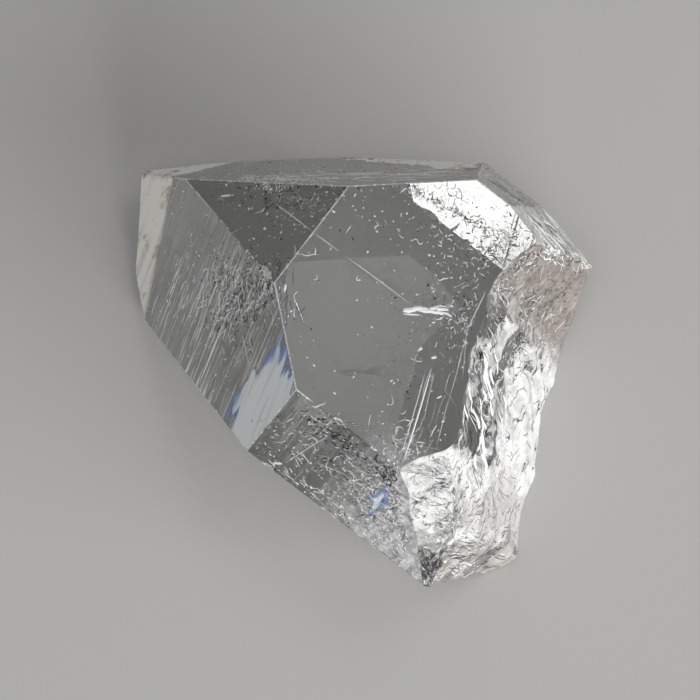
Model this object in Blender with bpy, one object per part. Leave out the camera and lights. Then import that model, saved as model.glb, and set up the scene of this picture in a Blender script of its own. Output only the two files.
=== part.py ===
"""Quartz point: one clear rock crystal, lying on a prism face.

The crystal is alpha quartz: a six-sided prism capped by six pyramid faces, and broken off
its matrix at the other end. Frame in metres, +Z up: the point looks along -X, the break
along +X, and the crystal rests on one prism face at Z = 0. The origin is the middle of the
bounding box's underside. Azimuths are measured about the long axis from +Z towards +Y.
"""
import math

import bmesh
import bpy
import numpy as np
from mathutils import Matrix, Vector

MM = 0.001

# Distance of each prism face from the long axis, in millimetres, by azimuth in degrees.
PRISM_FACES = {0: 12.00, 60: 17.73, 120: 17.47, 180: 12.00, 240: 16.26, 300: 18.77}

# Distance of each pyramid face from the middle of the crystal, in millimetres, by azimuth.
POINT_FACES = {0: 14.29, 60: 12.85, 120: 20.27, 180: 20.70, 240: 22.92, 300: 14.76}

# Angle between the long axis and the normal of a pyramid face: the same in every quartz.
POINT_FACE_ANGLE = 51.79

# The plates that the break follows. Each is a plane X = reach + rise * Z + side * Y, with
# reach in millimetres where the plane meets the long axis, and Z measured from that axis.
BREAK_MAIN = (18.68, -0.63, -0.41)
BREAK_SHELF = (13.29, -0.46, 0.18)
BREAK_STEEP_SIDE = (79.79, -2.32, -3.43)
BREAK_FRONT_CHIP = (36.83, -1.30, 0.60)
BREAK_LOW_FACET = (23.90, -0.505, 0.052)
BREAK_HEEL = (34.50, 0.05, 0.53)
PLATE_BLEND = 0.7        # mm over which one plate turns into the next

# Shell-like scoops that cover the break.
SCOOP_SEED = 11
SCOOP_SPACING = 4.6      # mm between the middles of neighbouring scoops
SCOOP_STRETCH = 1.7      # how much longer a scoop is along Y than along Z
SCOOP_BEND = 5.5         # mm, radius of curvature across a scoop
SCOOP_STEP = 0.55        # mm, how far one scoop sits deeper than the next
SCOOP_LEVEL = 0.19       # mm, mean height of the scooped surface, taken off again
SHELF_ROUGHNESS = 0.40   # the shelf's relief, as a share of the main plate's
SHELF_BLEND = 1.5        # mm over which the relief fades where the shelf starts
BREAK_HALF_WIDTH = 24.0  # mm, half the square that the scoops cover

RIPPLE_SOURCE = (-8.0, 3.0)   # mm, Y and Z of the blow that the ripples spread from
RIPPLE_SPACING = 2.3          # mm from one ripple to the next
RIPPLE_HEIGHT = 0.10          # mm

BREAK_RINGS = 28         # rings of triangles from the middle of the break to its rim

# Nicks in the crystal's edges: the two faces that meet there, how far along the edge from
# its -X end, and the nick's length and depth in millimetres.
NICKS = {
    "nick_upper_facets": (("point", 0), ("point", 300), 0.90, 2.6, 0.26),
    "nick_tip": (("point", 60), ("point", 180), 0.10, 1.4, 0.22),
    "nick_front_edge_a": (("prism", 240), ("prism", 300), 0.12, 1.8, 0.25),
    "nick_front_edge_b": (("prism", 240), ("prism", 300), 0.47, 2.6, 0.35),
    "nick_front_edge_c": (("prism", 240), ("prism", 300), 0.78, 1.5, 0.22),
    "nick_top_edge": (("prism", 0), ("prism", 300), 0.42, 1.7, 0.20),
    "nick_back_facets": (("point", 120), ("point", 180), 0.55, 2.2, 0.30),
    "nick_back_edge": (("prism", 120), ("prism", 180), 0.35, 2.4, 0.30),
}
NICK_ROUNDS = 3          # subdivisions of the ball that cuts a nick

PARALLEL = 1e-4          # triple products under this mean faces with no common corner
TOUCHING = 1e-3          # mm, a corner this close to a face lies on it

QUARTZ_CLEAR = (0.90, 0.91, 0.92, 1.0)


def clear_scene():
    for old in list(bpy.data.objects):
        bpy.data.objects.remove(old, do_unlink=True)


def prism_normal(azimuth):
    turn = math.radians(azimuth)
    return Vector((0.0, math.sin(turn), math.cos(turn)))


def point_normal(azimuth):
    tilt = math.radians(POINT_FACE_ANGLE)
    return prism_normal(azimuth) * math.sin(tilt) + Vector((-math.cos(tilt), 0.0, 0.0))


def crystal_planes():
    """Every growth face as (name, outward normal, distance in mm)."""
    prism = [(("prism", a), prism_normal(a), d) for a, d in PRISM_FACES.items()]
    point = [(("point", a), point_normal(a), d) for a, d in POINT_FACES.items()]
    return prism + point


def meeting_point(planes):
    """The one point that lies on all three planes."""
    normals = Matrix([normal for _, normal, _ in planes])
    return normals.inverted() @ Vector([distance for _, _, distance in planes])


def smooth_min(a, b, width):
    """The lower of two heights, rounded off where they cross."""
    near = np.clip(0.5 + 0.5 * (b - a) / width, 0.0, 1.0)
    return b + (a - b) * near - width * near * (1.0 - near)


def plate(y, z, shape):
    reach, rise, side = shape
    return reach + rise * z + side * y


def scoops(y, z):
    """How deep the shell-like scoops bite: at each point, the deepest of many shallow bowls."""
    draw = np.random.default_rng(SCOOP_SEED)
    steps = np.arange(-BREAK_HALF_WIDTH, BREAK_HALF_WIDTH + SCOOP_SPACING, SCOOP_SPACING)
    middle_y, middle_z = np.meshgrid(steps * SCOOP_STRETCH, steps)
    middle_y = middle_y.ravel() + draw.uniform(-0.5, 0.5, middle_y.size) * SCOOP_SPACING * SCOOP_STRETCH
    middle_z = middle_z.ravel() + draw.uniform(-0.5, 0.5, middle_z.size) * SCOOP_SPACING
    depth = draw.uniform(0.0, SCOOP_STEP, middle_y.size)
    across = ((y[:, None] - middle_y) / SCOOP_STRETCH) ** 2 + (z[:, None] - middle_z) ** 2
    return np.min(across / (2.0 * SCOOP_BEND) - depth, axis=1) - SCOOP_LEVEL


def ripples(y, z):
    """Rings that spread from the blow, steep on one side like waves on a shell."""
    from_blow = np.hypot(y - RIPPLE_SOURCE[0], z - RIPPLE_SOURCE[1])
    phase = 2.0 * math.pi * from_blow / RIPPLE_SPACING
    return RIPPLE_HEIGHT * np.sin(phase + 0.6 * np.sin(phase))


def break_height(y, z):
    """X of the broken end over a point of the cross-section, in mm from the axis."""
    main, shelf = plate(y, z, BREAK_MAIN), plate(y, z, BREAK_SHELF)
    on_shelf = np.clip(0.5 + (shelf - main) / SHELF_BLEND, 0.0, 1.0)
    relief = 1.0 - (1.0 - SHELF_ROUGHNESS) * on_shelf
    face = np.maximum(main, shelf)
    for cut in (BREAK_STEEP_SIDE, BREAK_FRONT_CHIP, BREAK_LOW_FACET, BREAK_HEEL):
        face = smooth_min(face, plate(y, z, cut), PLATE_BLEND)
    return face + relief * (scoops(y, z) + ripples(y, z))


def section_corners():
    """The six corners of the prism's cross-section, in order of azimuth, as (Y, Z)."""
    faces = list(PRISM_FACES.items())
    corners = []
    for (a, near), (b, far) in zip(faces, faces[1:] + faces[:1]):
        first, second = prism_normal(a), prism_normal(b)
        sides = Matrix(((first.y, first.z), (second.y, second.z)))
        corners.append(sides.inverted() @ Vector((near, far)))
    return corners


def break_lattice(corners):
    """Rings of points from the middle of the section out to its rim, as (Y, Z) rows."""
    rings = [np.zeros((1, 2))]
    for ring in range(1, BREAK_RINGS + 1):
        points = []
        for start, end in zip(corners, corners[1:] + corners[:1]):
            along = np.arange(ring)[:, None] / ring
            points.append((1.0 - along) * np.array(start) + along * np.array(end))
        rings.append(np.vstack(points) * ring / BREAK_RINGS)
    return rings


def add_break(bm, corners):
    """Adds the broken end and returns its rim, in order, starting at the first corner."""
    rows = []
    for ring in break_lattice(corners):
        reach = break_height(ring[:, 0], ring[:, 1])
        rows.append([bm.verts.new((x, y, z)) for x, (y, z) in zip(reach, ring)])
    for ring in range(1, BREAK_RINGS + 1):
        outer, inner = rows[ring], rows[ring - 1]
        for side in range(6):
            for step in range(ring):
                a = outer[side * ring + step]
                b = outer[(side * ring + step + 1) % len(outer)]
                c = inner[(side * (ring - 1) + step) % len(inner)]
                bm.faces.new((a, b, c))
                if step < ring - 1:
                    d = inner[(side * (ring - 1) + step + 1) % len(inner)]
                    bm.faces.new((c, b, d))
    return rows[-1]


def point_corners(planes):
    """The corners of the capped end: each is where three faces meet inside all the others."""
    found = []
    for i, first in enumerate(planes):
        for j, second in enumerate(planes[i + 1:], i + 1):
            for third in planes[j + 1:]:
                trio = (first, second, third)
                if abs(first[1].cross(second[1]).dot(third[1])) < PARALLEL:
                    continue
                corner = meeting_point(trio)
                if all(normal.dot(corner) <= distance + TOUCHING for _, normal, distance in planes):
                    found.append((corner, {name for name, _, _ in trio}))
    return found


def loop_around(normal, items):
    """Sorts (position, vertex) pairs anticlockwise as seen from outside the face."""
    middle = sum((place for place, _ in items), Vector()) / len(items)
    across = normal.orthogonal().normalized()
    upward = normal.cross(across)

    def bearing(item):
        offset = item[0] - middle
        return math.atan2(offset.dot(upward), offset.dot(across))

    return [vertex for _, vertex in sorted(items, key=bearing)]


def add_growth_faces(bm, rim):
    """Adds the flat prism and pyramid faces, down to the rim of the break."""
    planes = crystal_planes()
    corners = [(place, names, bm.verts.new(place)) for place, names in point_corners(planes)]
    prism_azimuths = list(PRISM_FACES)
    for name, normal, _ in planes:
        items = [(place, vertex) for place, names, vertex in corners if name in names]
        if name[0] == "prism":
            side = (prism_azimuths.index(name[1]) - 1) % 6
            edge = [rim[(side * BREAK_RINGS + step) % len(rim)] for step in range(BREAK_RINGS + 1)]
            items = loop_of_wall(normal, items, edge)
        else:
            items = loop_around(normal, items)
        bm.faces.new(items)


def loop_of_wall(normal, capped, edge):
    """The outline of a prism face: along the rim of the break, then back round the point."""
    start, end = edge[0].co, edge[-1].co
    sideways = (end - start).normalized()
    upper = sorted(capped, key=lambda item: -item[0].dot(sideways))
    return edge + [vertex for _, vertex in upper]


def edge_between(first, second):
    """The two ends of the edge where two named faces meet, -X end first."""
    ends = [place for place, names in point_corners(crystal_planes()) if {first, second} <= names]
    if len(ends) < 2:
        ends.append(rim_corner(first, second))
    return sorted(ends, key=lambda end: end.x)


def rim_corner(first, second):
    """Where the edge between two prism faces runs out into the break."""
    azimuths = list(PRISM_FACES)
    lower, upper = sorted((azimuths.index(first[1]), azimuths.index(second[1])))
    corner = section_corners()[5 if (lower, upper) == (0, 5) else lower]
    reach = break_height(np.array([corner[0]]), np.array([corner[1]]))[0]
    return Vector((reach, corner[0], corner[1]))


def add_nick(name, crystal, spec):
    """Cuts one nick: a ball that dips into the edge by the depth, over the length."""
    first, second, fraction, length, depth = spec
    start, end = edge_between(first, second)
    normals = {face: normal for face, normal, _ in crystal_planes()}
    outward = (normals[first] + normals[second]).normalized()
    radius = (length ** 2 / 4.0 + depth ** 2) / (2.0 * depth)
    middle = start.lerp(end, fraction) + outward * (radius - depth)

    bm = bmesh.new()
    bmesh.ops.create_icosphere(bm, subdivisions=NICK_ROUNDS, radius=radius * MM)
    mesh = bpy.data.meshes.new(name)
    bm.to_mesh(mesh)
    bm.free()
    cutter = bpy.data.objects.new(name, mesh)
    cutter.parent = crystal
    cutter.location = middle * MM
    cutter.hide_render = True
    cutter.display_type = "WIRE"
    bpy.context.collection.objects.link(cutter)

    cut = crystal.modifiers.new(name, "BOOLEAN")
    cut.operation = "DIFFERENCE"
    cut.solver = "EXACT"
    cut.object = cutter


def build_crystal():
    bm = bmesh.new()
    rim = add_break(bm, section_corners())
    add_growth_faces(bm, rim)
    bmesh.ops.recalc_face_normals(bm, faces=bm.faces)
    bmesh.ops.scale(bm, vec=(MM, MM, MM), verts=bm.verts)
    mesh = bpy.data.meshes.new("quartz_point")
    bm.to_mesh(mesh)
    bm.free()
    crystal = bpy.data.objects.new("quartz_point", mesh)
    bpy.context.collection.objects.link(crystal)
    return crystal


def centre_on_floor(crystal):
    """Moves the crystal and its cutters so that its box stands centred on the origin."""
    places = np.array([vertex.co for vertex in crystal.data.vertices])
    low, high = places.min(axis=0), places.max(axis=0)
    middle = (low + high) / 2.0
    crystal.location = (-middle[0], -middle[1], -low[2])


def clear_quartz():
    material = bpy.data.materials.new("clear_quartz")
    material.use_nodes = True
    shader = material.node_tree.nodes["Principled BSDF"]
    shader.inputs["Base Color"].default_value = QUARTZ_CLEAR
    shader.inputs["Roughness"].default_value = 0.04
    shader.inputs["Metallic"].default_value = 0.0
    shader.inputs["Transmission Weight"].default_value = 1.0
    shader.inputs["IOR"].default_value = 1.544
    return material


def main():
    clear_scene()
    crystal = build_crystal()
    for name, spec in NICKS.items():
        add_nick(name, crystal, spec)
    centre_on_floor(crystal)
    crystal.data.materials.append(clear_quartz())


main()
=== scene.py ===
"""Looks of the quartz point: clear rock crystal with a broken, frosted base, on a pale table.

Lengths are in millimetres until a mesh is made. The crystal's own frame has X along its long
axis, the tip towards -X, and its origin on that axis; the frame's box says where it lies.
"""
import itertools
import math

import bmesh
import bpy
import numpy as np
from mathutils import Matrix, Vector


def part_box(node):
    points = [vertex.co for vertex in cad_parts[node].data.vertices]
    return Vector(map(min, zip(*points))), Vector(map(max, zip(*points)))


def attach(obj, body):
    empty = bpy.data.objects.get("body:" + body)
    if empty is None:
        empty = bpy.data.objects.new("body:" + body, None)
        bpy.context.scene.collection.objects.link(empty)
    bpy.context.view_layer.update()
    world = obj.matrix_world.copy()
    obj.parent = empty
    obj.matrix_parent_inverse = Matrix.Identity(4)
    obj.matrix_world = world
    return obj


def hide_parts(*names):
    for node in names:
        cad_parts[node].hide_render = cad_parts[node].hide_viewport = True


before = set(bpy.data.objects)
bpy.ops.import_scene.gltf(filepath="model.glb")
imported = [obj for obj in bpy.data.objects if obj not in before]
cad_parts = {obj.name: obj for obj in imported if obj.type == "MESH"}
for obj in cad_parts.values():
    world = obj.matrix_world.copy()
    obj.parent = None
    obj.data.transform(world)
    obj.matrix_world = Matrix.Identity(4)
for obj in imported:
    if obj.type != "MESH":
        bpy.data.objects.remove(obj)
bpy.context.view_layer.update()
MM = 0.001

# ---------------------------------------------------------------- driving dimensions

# Distance of each prism face from the long axis, by azimuth from +Z towards +Y in degrees.
PRISM_FACES = {0: 12.00, 60: 17.73, 120: 17.47, 180: 12.00, 240: 16.26, 300: 18.77}
# Distance of each pyramid face from the middle of the crystal.
POINT_FACES = {0: 14.29, 60: 12.85, 120: 20.27, 180: 20.70, 240: 22.92, 300: 14.76}
POINT_FACE_ANGLE = 51.79   # degrees between the long axis and a pyramid face's normal

# Plates of the break: X = reach + rise * Z + side * Y.
BREAK_MAIN = (18.68, -0.63, -0.41)
BREAK_SHELF = (13.29, -0.46, 0.18)
BREAK_STEEP_SIDE = (79.79, -2.32, -3.43)
BREAK_FRONT_CHIP = (36.83, -1.30, 0.60)
BREAK_LOW_FACET = (23.90, -0.505, 0.052)
BREAK_HEEL = (34.50, 0.05, 0.53)
PLATE_BLEND = 0.7          # mm over which plates round into each other
SHELF_BLEND = 1.5          # mm over which the shelf and the steep side set in
SHELF_RELIEF = 0.40        # share of the scoops and ripples that the shelf keeps
SHELF_FLAKES = 0.25        # share of the splinters' height that it keeps
SHELF_FROST = (0.74, 0.12)     # how frosted it is, and how far that varies

# Big scoops, and ripples round the place of the blow.
SCOOPS = {"seed": 11, "spacing": 4.6, "stretch": 1.7, "bend": 5.5, "step": 0.55}
SCOOP_LEVEL = 0.19
BREAK_HALF_WIDTH = 24.0
RIPPLE_SOURCE = (-8.0, 3.0)
RIPPLE_SPACING = 2.3
RIPPLE_HEIGHT = 0.10
RIPPLE_LEAN = 0.6
# Splinters of three sizes: seed, spacing, stretch, bend, lean and step of their bowls, the
# level that sets them flush, and their part in saying which flakes are bruised white.
SPLINTERS = (
    ((23, 1.5, 3.0, 1.3, 0.9, 0.55), 0.15, 0.55),
    ((24, 0.62, 2.4, 0.8, 0.8, 0.22), 0.05, 0.30),
    ((25, 0.30, 1.6, 0.5, 0.6, 0.08), 0.02, 0.15),
)
SHADE_CONTRAST = 1.9
WHITE_EDGE = 0.16          # how softly a clear flake turns into a white one
BREAK_RINGS = 140          # rings of triangles from the middle of the break to its rim
DEEPEST_SCOOP = 0.6        # mm that the relief may lie below the plates

# Patches of the break, each an outline in mm as (Y, Z): the share of its flakes that are
# bruised white, how frosted the clear flakes and the white ones are, how high its flakes
# stand, and how stained it is. The rest of the break is bruised nearly white.
BREAK_PATCHES = {
    "glassy_splinters": (((4.8, 14.0), (5.4, 8.0), (3.9, 4.4), (2.4, 1.2), (0.2, 1.5), (-2.0, 2.3),
        (-4.2, 2.8), (-6.4, 3.4), (-8.6, 6.2), (-9.6, 9.0), (-9.8, 14.0)), 0.24, 0.12, 0.66, 0.8, 0.0),
    "glassy_lumps": (((4.6, 14.0), (8.5, 14.0), (9.5, 5.0), (12.5, -6.0), (15.2, -6.0), (14.0, -13.0),
        (9.0, -9.0), (2.5, 3.5), (3.5, 9.5)), 0.42, 0.2, 0.82, 1.2, 0.12),
    "smooth_shell": (((-10.6, 4.6), (-3.4, -5.0), (-2.0, -14.0), (-7.0, -14.0), (-7.4, -9.4), (-8.8, -6.4),
        (-12.2, -2.6), (-14.6, 6.6)), 0.96, 0.8, 0.96, 0.22, 0.3),
    "low_facet": (((-19.0, 8.0), (-15.0, 3.5), (-12.4, -2.4), (-8.8, -6.6), (-7.6, -9.4), (-7.4, -14.0),
        (-13.0, -14.0), (-21.0, -2.0)), 0.55, 0.4, 0.76, 0.8, 0.64),
    "bubbly_corner": (((-10.4, 14.0), (-11.2, 8.4), (-12.6, 5.4), (-15.6, 3.6), (-18.4, 5.4), (-21.0, 7.5),
        (-16.0, 14.0)), 0.62, 0.34, 0.74, 0.7, 0.05),
    "bubbly_back": (((10.0, 16.0), (22.0, 16.0), (24.0, -4.0), (17.0, -1.0), (13.0, 7.5), (11.0, 11.0)),
        0.84, 0.6, 1.0, 1.0, 0.08),
    "corner_chip": (((-20.6, 6.0), (-17.0, 5.0), (-16.8, 1.8), (-19.0, 0.6), (-22.0, 2.4)), 0.22, 0.02, 0.7,
        1.2, 0.2),
}
WHITE_FLAKES = (0.97, 0.78, 1.00, 0.7, 0.0)
PATCH_RAGGED = 1.1         # mm by which a patch's outline wanders
PATCH_WANDER = (2.4, 1.1)      # mm from one wander to the next, along Y and Z

# Nicks in the edges: two faces, place along their edge from the tip's end, length, depth.
NICKS = {
    "upper_facets": ("point_0", "point_300", 0.9, 2.6, 0.26),
    "tip": ("point_60", "point_180", 0.1, 1.4, 0.22),
    "front_edge_a": ("prism_240", "prism_300", 0.12, 1.8, 0.25),
    "front_edge_b": ("prism_240", "prism_300", 0.47, 2.6, 0.35),
    "front_edge_c": ("prism_240", "prism_300", 0.78, 1.5, 0.22),
    "top_edge": ("prism_0", "prism_300", 0.42, 1.7, 0.2),
    "back_facets": ("point_120", "point_180", 0.55, 2.2, 0.3),
    "back_edge": ("prism_120", "prism_180", 0.35, 2.4, 0.3),
}
NICK_FROST = 0.7
EDGE_WEAR = 0.13           # width of the worn strip along an edge
EDGE_BRUISE_AND_HIGHLIGHT = 0.95          # how white that strip is: bruising, and a painted highlight along the edges

# How much the fine growth lines of a face whiten it, partly as real frosting and partly as
# painted light that brightens the face, and lines that run aslant.
FACE_HAZE_AND_LIGHT = {
    "point_300": 0.42, "point_240": 0.1, "prism_300": 0.12, "prism_60": 0.04, "point_60": 0.02,
    "point_120": 0.06, "point_180": 0.04, "prism_240": 0.06,
}
GROWTH_LINES = {"point_300": (0.218, -0.629, -0.746)}
UV_PER_MM = 0.05
LINES_BEGIN = (-19.0, -10.0)   # along X, in mm: the growth lines are faint at the tip

# Straight hair-thin ridges and tubes on or just under a face: start, end, radius, all in mm.
NEEDLES = (
    ((-12.71, 0.02, 8.18), (-7.86, -1.18, 11.98), 0.055),
    ((-7.8, -1.2, 11.98), (-4.6, -1.14, 11.98), 0.045),
    ((-4.2, -1.12, 11.98), (4.1, -0.98, 11.98), 0.05),
    ((9.16, -4.7, 11.98), (12.45, -14.5, 11.98), 0.105),
    ((8.78, -5.15, 11.98), (12.02, -14.4, 11.98), 0.055),
    ((9.75, 0.8, 11.98), (13.05, -8.3, 11.98), 0.035),
    ((8.95, 5.2, 11.98), (9.72, 0.5, 11.98), 0.05),
    ((9.72, 0.5, 11.98), (12.4, -4.1, 11.98), 0.035),
    ((12.29, -6.37, 11.98), (14.07, -10.92, 11.98), 0.04),
    ((10.55, -12.93, 11.98), (14.9, -10.6, 11.98), 0.025),
    ((7.21, 0.97, 11.98), (9.76, 0.84, 11.98), 0.04),
    ((7.0, 0.5, 11.98), (9.5, 0.25, 11.98), 0.025),
    ((-9.47, -11.56, 2.64), (-7.69, -16.66, -3.4), 0.06),
    ((-7.53, -11.68, 5.48), (-4.87, -14.07, 5.53), 0.035),
    ((-6.6, -13.0, 4.6), (-5.4, -15.8, 0.8), 0.04),
    ((-10.9, -9.8, 3.4), (-9.6, -12.8, 0.3), 0.035),
    ((-14.6, -9.4, -1.4), (-13.9, -12.0, -4.9), 0.03),
    ((3.66, -19.26, 4.19), (5.25, -15.8, 10.18), 0.035),
    ((5.8, -17.9, 6.6), (9.2, -17.3, 7.6), 0.03),
)
NEEDLE_BOW = 0.006         # sideways bow, as a share of the length
NEEDLE_FLATNESS = 0.8
# Bright flakes let into a face: the middles of a path across it, and the flake's half width.
CHIPS = (
    (((3.62, -2.0, 12.0), (4.1, -1.55, 12.0), (4.75, -0.85, 12.0)), 0.24),
    (((4.05, -1.35, 12.0), (4.8, -0.75, 12.0), (5.6, -0.25, 12.0)), 0.2),
    (((4.7, -1.1, 12.0), (5.5, -0.5, 12.0), (6.4, 0.05, 12.0), (7.1, 0.35, 12.0)), 0.21),
    (((5.5, -0.1, 12.0), (6.4, 0.45, 12.0), (7.2, 0.95, 12.0)), 0.17),
    (((3.8, -2.25, 12.0), (4.6, -1.7, 12.0), (5.3, -1.2, 12.0)), 0.08),
    (((6.6, 0.25, 12.0), (7.3, 0.55, 12.0), (7.9, 0.6, 12.0)), 0.1),
    (((5.9, 0.35, 12.0), (6.3, 0.8, 12.0), (6.9, 1.1, 12.0)), 0.06),
    (((-17.46, -1.67, 4.44), (-17.05, -1.3, 4.77), (-16.62, -1.0, 5.11)), 0.12),
    (((-17.6, -2.05, 4.3), (-17.0, -1.7, 4.8)), 0.06),
    (((-1.59, -19.09, 2.01), (-1.3, -18.9, 2.7), (-1.09, -18.66, 3.54)), 0.2),
    (((-1.95, -18.75, 1.95), (-1.6, -18.6, 2.7)), 0.1),
    (((2.7, -19.8, 3.2), (3.1, -19.6, 3.6), (3.54, -19.42, 3.9)), 0.15),
    (((3.9, -19.75, 3.25), (4.6, -19.7, 3.4)), 0.1),
    (((-11.98, -2.8, 8.77), (-11.75, -2.95, 8.95)), 0.14),
    (((7.1, -4.15, 12.0), (7.35, -3.8, 12.0)), 0.11),
    (((7.3, -4.1, 12.0), (7.15, -3.75, 12.0)), 0.07),
    (((8.6, -4.05, 12.0), (8.95, -3.6, 12.0)), 0.12),
    (((11.3, -6.95, 12.0), (11.6, -6.4, 12.0)), 0.08),
    (((-8.6, -3.1, 11.3), (-8.2, -3.55, 11.6), (-7.7, -4.4, 11.95)), 0.09),
    (((-8.05, -5.2, 11.8), (-7.7, -5.8, 12.0)), 0.14),
    (((-6.9, -7.0, 12.0), (-6.55, -7.8, 12.0)), 0.1),
)
CHIP_STEPS = 10
CHIP_WOBBLE = 0.25         # as a share of the half width
CHIP_FLATNESS = 0.22
# Lint on the faces: a fibre's middle, its length and the way that it starts off, in degrees.
LINT = (
    ((-6.96, -3.37, 12.0), 2.3, 20.0), ((-5.47, -7.48, 12.0), 1.5, 60.0), ((-4.96, -4.7, 12.0), 0.9, 150.0),
    ((-6.62, -2.59, 12.0), 0.9, 10.0), ((-8.6, 1.1, 10.9), 1.6, 100.0), ((-9.9, 2.0, 10.1), 1.4, 30.0),
    ((-3.4, 3.3, 12.0), 1.3, 80.0), ((0.8, 4.6, 12.0), 1.7, 140.0), ((2.6, -14.6, 12.0), 1.8, 10.0),
    ((8.0, -9.9, 12.0), 1.2, 75.0), ((-1.7, -2.2, 12.0), 1.0, 35.0), ((4.9, 3.1, 12.0), 1.5, 120.0),
    ((-17.25, -5.85, -0.05), 2.6, 205.0), ((-15.9, -9.8, -4.5), 1.9, 250.0),
    ((-13.9, -4.3, 6.7), 1.1, 300.0),
)
LINT_RADIUS = (0.035, 0.055)
LINT_LIFT = (0.035, 0.05)      # mm that a fibre's ends stand off the face, and its middle more
LINT_STEPS = 14
# Clusters of feathery cracks inside the stone: middle, spread and run of the feathers (mm),
# how far each run strays from that (0..1), length range, half width, and how many.
FEATHERS = {
    "under_front_point_face": ((-9.2, -8.4, 6.2), (2.6, 1.6, 2.9), (0.4, -0.62, -0.68), 0.45, (0.8, 4.0),
        0.12, 260),
    "under_top_corner": ((-11.8, 1.2, 8.0), (2.8, 1.2, 0.9), (0.8, 0.1, 0.5), 0.8, (0.4, 1.6), 0.06, 60),
    "beside_break_top": ((7.6, 2.6, 11.2), (2.8, 3.2, 0.5), (0.3, -0.9, -0.1), 0.7, (0.4, 2.0), 0.06, 70),
    "behind_break": ((13.2, -4.0, 7.0), (1.5, 5.5, 3.0), (0.35, -0.9, -0.3), 0.5, (0.8, 3.5), 0.12, 22),
    "under_front_prism_face": ((10.8, -15.6, 7.6), (3.6, 1.3, 2.2), (0.7, 0.3, 0.6), 0.9, (0.6, 3.2), 0.09,
        230),
    "low_front_corner": ((16.5, -16.6, 4.2), (2.0, 1.5, 2.6), (0.6, 0.6, 0.5), 1.0, (0.5, 2.6), 0.12, 110),
    "by_back_edge": ((6.2, 9.2, 9.6), (3.0, 2.6, 1.8), (0.7, 0.6, -0.2), 0.7, (0.4, 1.4), 0.07, 40),
}


def main_face_bands(lengths, half_width, count):
    """Three bands of tangled curls across the main face, one after the other."""
    places = {"a": (-2.6, 8.6, 12.0), "b": (-0.3, 8.9, 12.0), "c": (2.2, 9.5, 12.0)}
    return {f"main_face_band_{band}": ("prism_0", middle, (0.8, 0.22, 0.0), (1.0, 0.0, 0.0), 2.5,
                                       lengths, half_width, count)
            for band, middle in places.items()}


# Wisps of bruised stone that lie in a face: the face, their middle and spread (mm), heading
# (mm), how far it strays (0..1), length range, half width, and how many.
WISPS = {
    "front_point_face": ("point_300", (-10.2, -9.0, 4.6), (2.6, 1.7, 2.8), (0.22, -0.63, -0.75), 0.6,
        (0.4, 2.4), 0.03, 200),
    "front_point_face_left": ("point_300", (-14.5, -9.5, -2.2), (2.0, 2.2, 2.6), (0.22, -0.63, -0.75), 0.08,
        (0.8, 4.0), 0.022, 60),
    "front_point_edge": ("point_300", (-8.4, -7.4, 9.8), (1.2, 1.0, 1.2), (0.3, -0.5, -0.6), 0.9,
        (0.4, 1.6), 0.028, 70),
    "top_point_face": ("point_0", (-11.2, 1.6, 9.4), (2.8, 1.6, 2.0), (0.75, 0.3, 0.6), 1.3, (0.15, 0.8),
        0.028, 90),
    "back_point_face": ("point_60", (-13.4, 4.0, 4.0), (3.4, 1.6, 2.2), (1.0, 0.0, 0.3), 0.8, (0.15, 1.2),
        0.04, 150),
    "back_point_lines": ("point_60", (-6.0, 9.0, 5.0), (5.0, 2.0, 2.4), (0.75, 0.55, 0.25), 0.06,
        (0.8, 6.0), 0.026, 44),
    "main_face_back": ("prism_0", (3.6, 6.2, 12.0), (3.2, 1.4, 0.0), (0.8, 0.8, 0.0), 1.3, (0.15, 0.9),
        0.028, 110),
    **main_face_bands((0.4, 1.1), 0.026, 30),
    "main_face_bubbles": ("prism_0", (7.6, 10.4, 12.0), (0.9, 1.0, 0.0), (1.0, 0.0, 0.0), 2.6, (0.4, 1.2),
        0.03, 90),
    "main_face_by_break": ("prism_0", (8.8, 1.2, 12.0), (1.3, 3.2, 0.0), (0.3, -1.0, 0.0), 1.0, (0.2, 1.3),
        0.026, 130),
    "main_face_at_rim": ("prism_0", (10.6, -4.2, 12.0), (0.9, 2.6, 0.0), (0.36, -1.0, 0.0), 0.08,
        (1.5, 6.0), 0.018, 8),
    "main_face_low": ("prism_0", (12.2, -12.4, 12.0), (1.8, 1.2, 0.0), (0.9, 0.3, 0.0), 1.1, (0.3, 2.0),
        0.028, 90),
    "front_prism_face": ("prism_300", (6.4, -17.2, 7.4), (4.2, 1.0, 2.4), (0.8, 0.2, 0.5), 0.8, (0.2, 2.0),
        0.032, 190),
    "front_prism_low_edge": ("prism_300", (8.5, -19.6, 3.4), (5.0, 0.4, 0.7), (1.0, 0.0, 0.0), 0.4,
        (0.2, 1.6), 0.032, 120),
    "front_prism_by_break": ("prism_300", (14.2, -16.8, 8.0), (2.2, 1.2, 2.2), (0.7, 0.3, 0.6), 1.9,
        (0.3, 1.5), 0.028, 270),
    "front_prism_corner": ("prism_300", (17.2, -18.2, 5.6), (1.7, 1.0, 1.8), (0.6, 0.5, 0.6), 1.7,
        (0.3, 1.5), 0.032, 130),
    "back_prism_ridges": ("prism_60", (8.8, 15.0, 8.8), (1.6, 0.9, 1.5), (0.8, 0.36, -0.62), 0.45,
        (0.6, 3.0), 0.05, 110),
    "upper_ridge": ("point_0", (-14.2, 1.5, 7.1), (1.4, 0.5, 1.2), (0.75, 0.3, 0.6), 1.8, (0.15, 0.55),
        0.048, 60),
    "upper_ridge_behind": ("point_60", (-14.6, 2.9, 4.4), (1.8, 0.8, 1.4), (1.0, 0.0, 0.3), 1.8,
        (0.15, 0.6), 0.055, 70),
}
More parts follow.
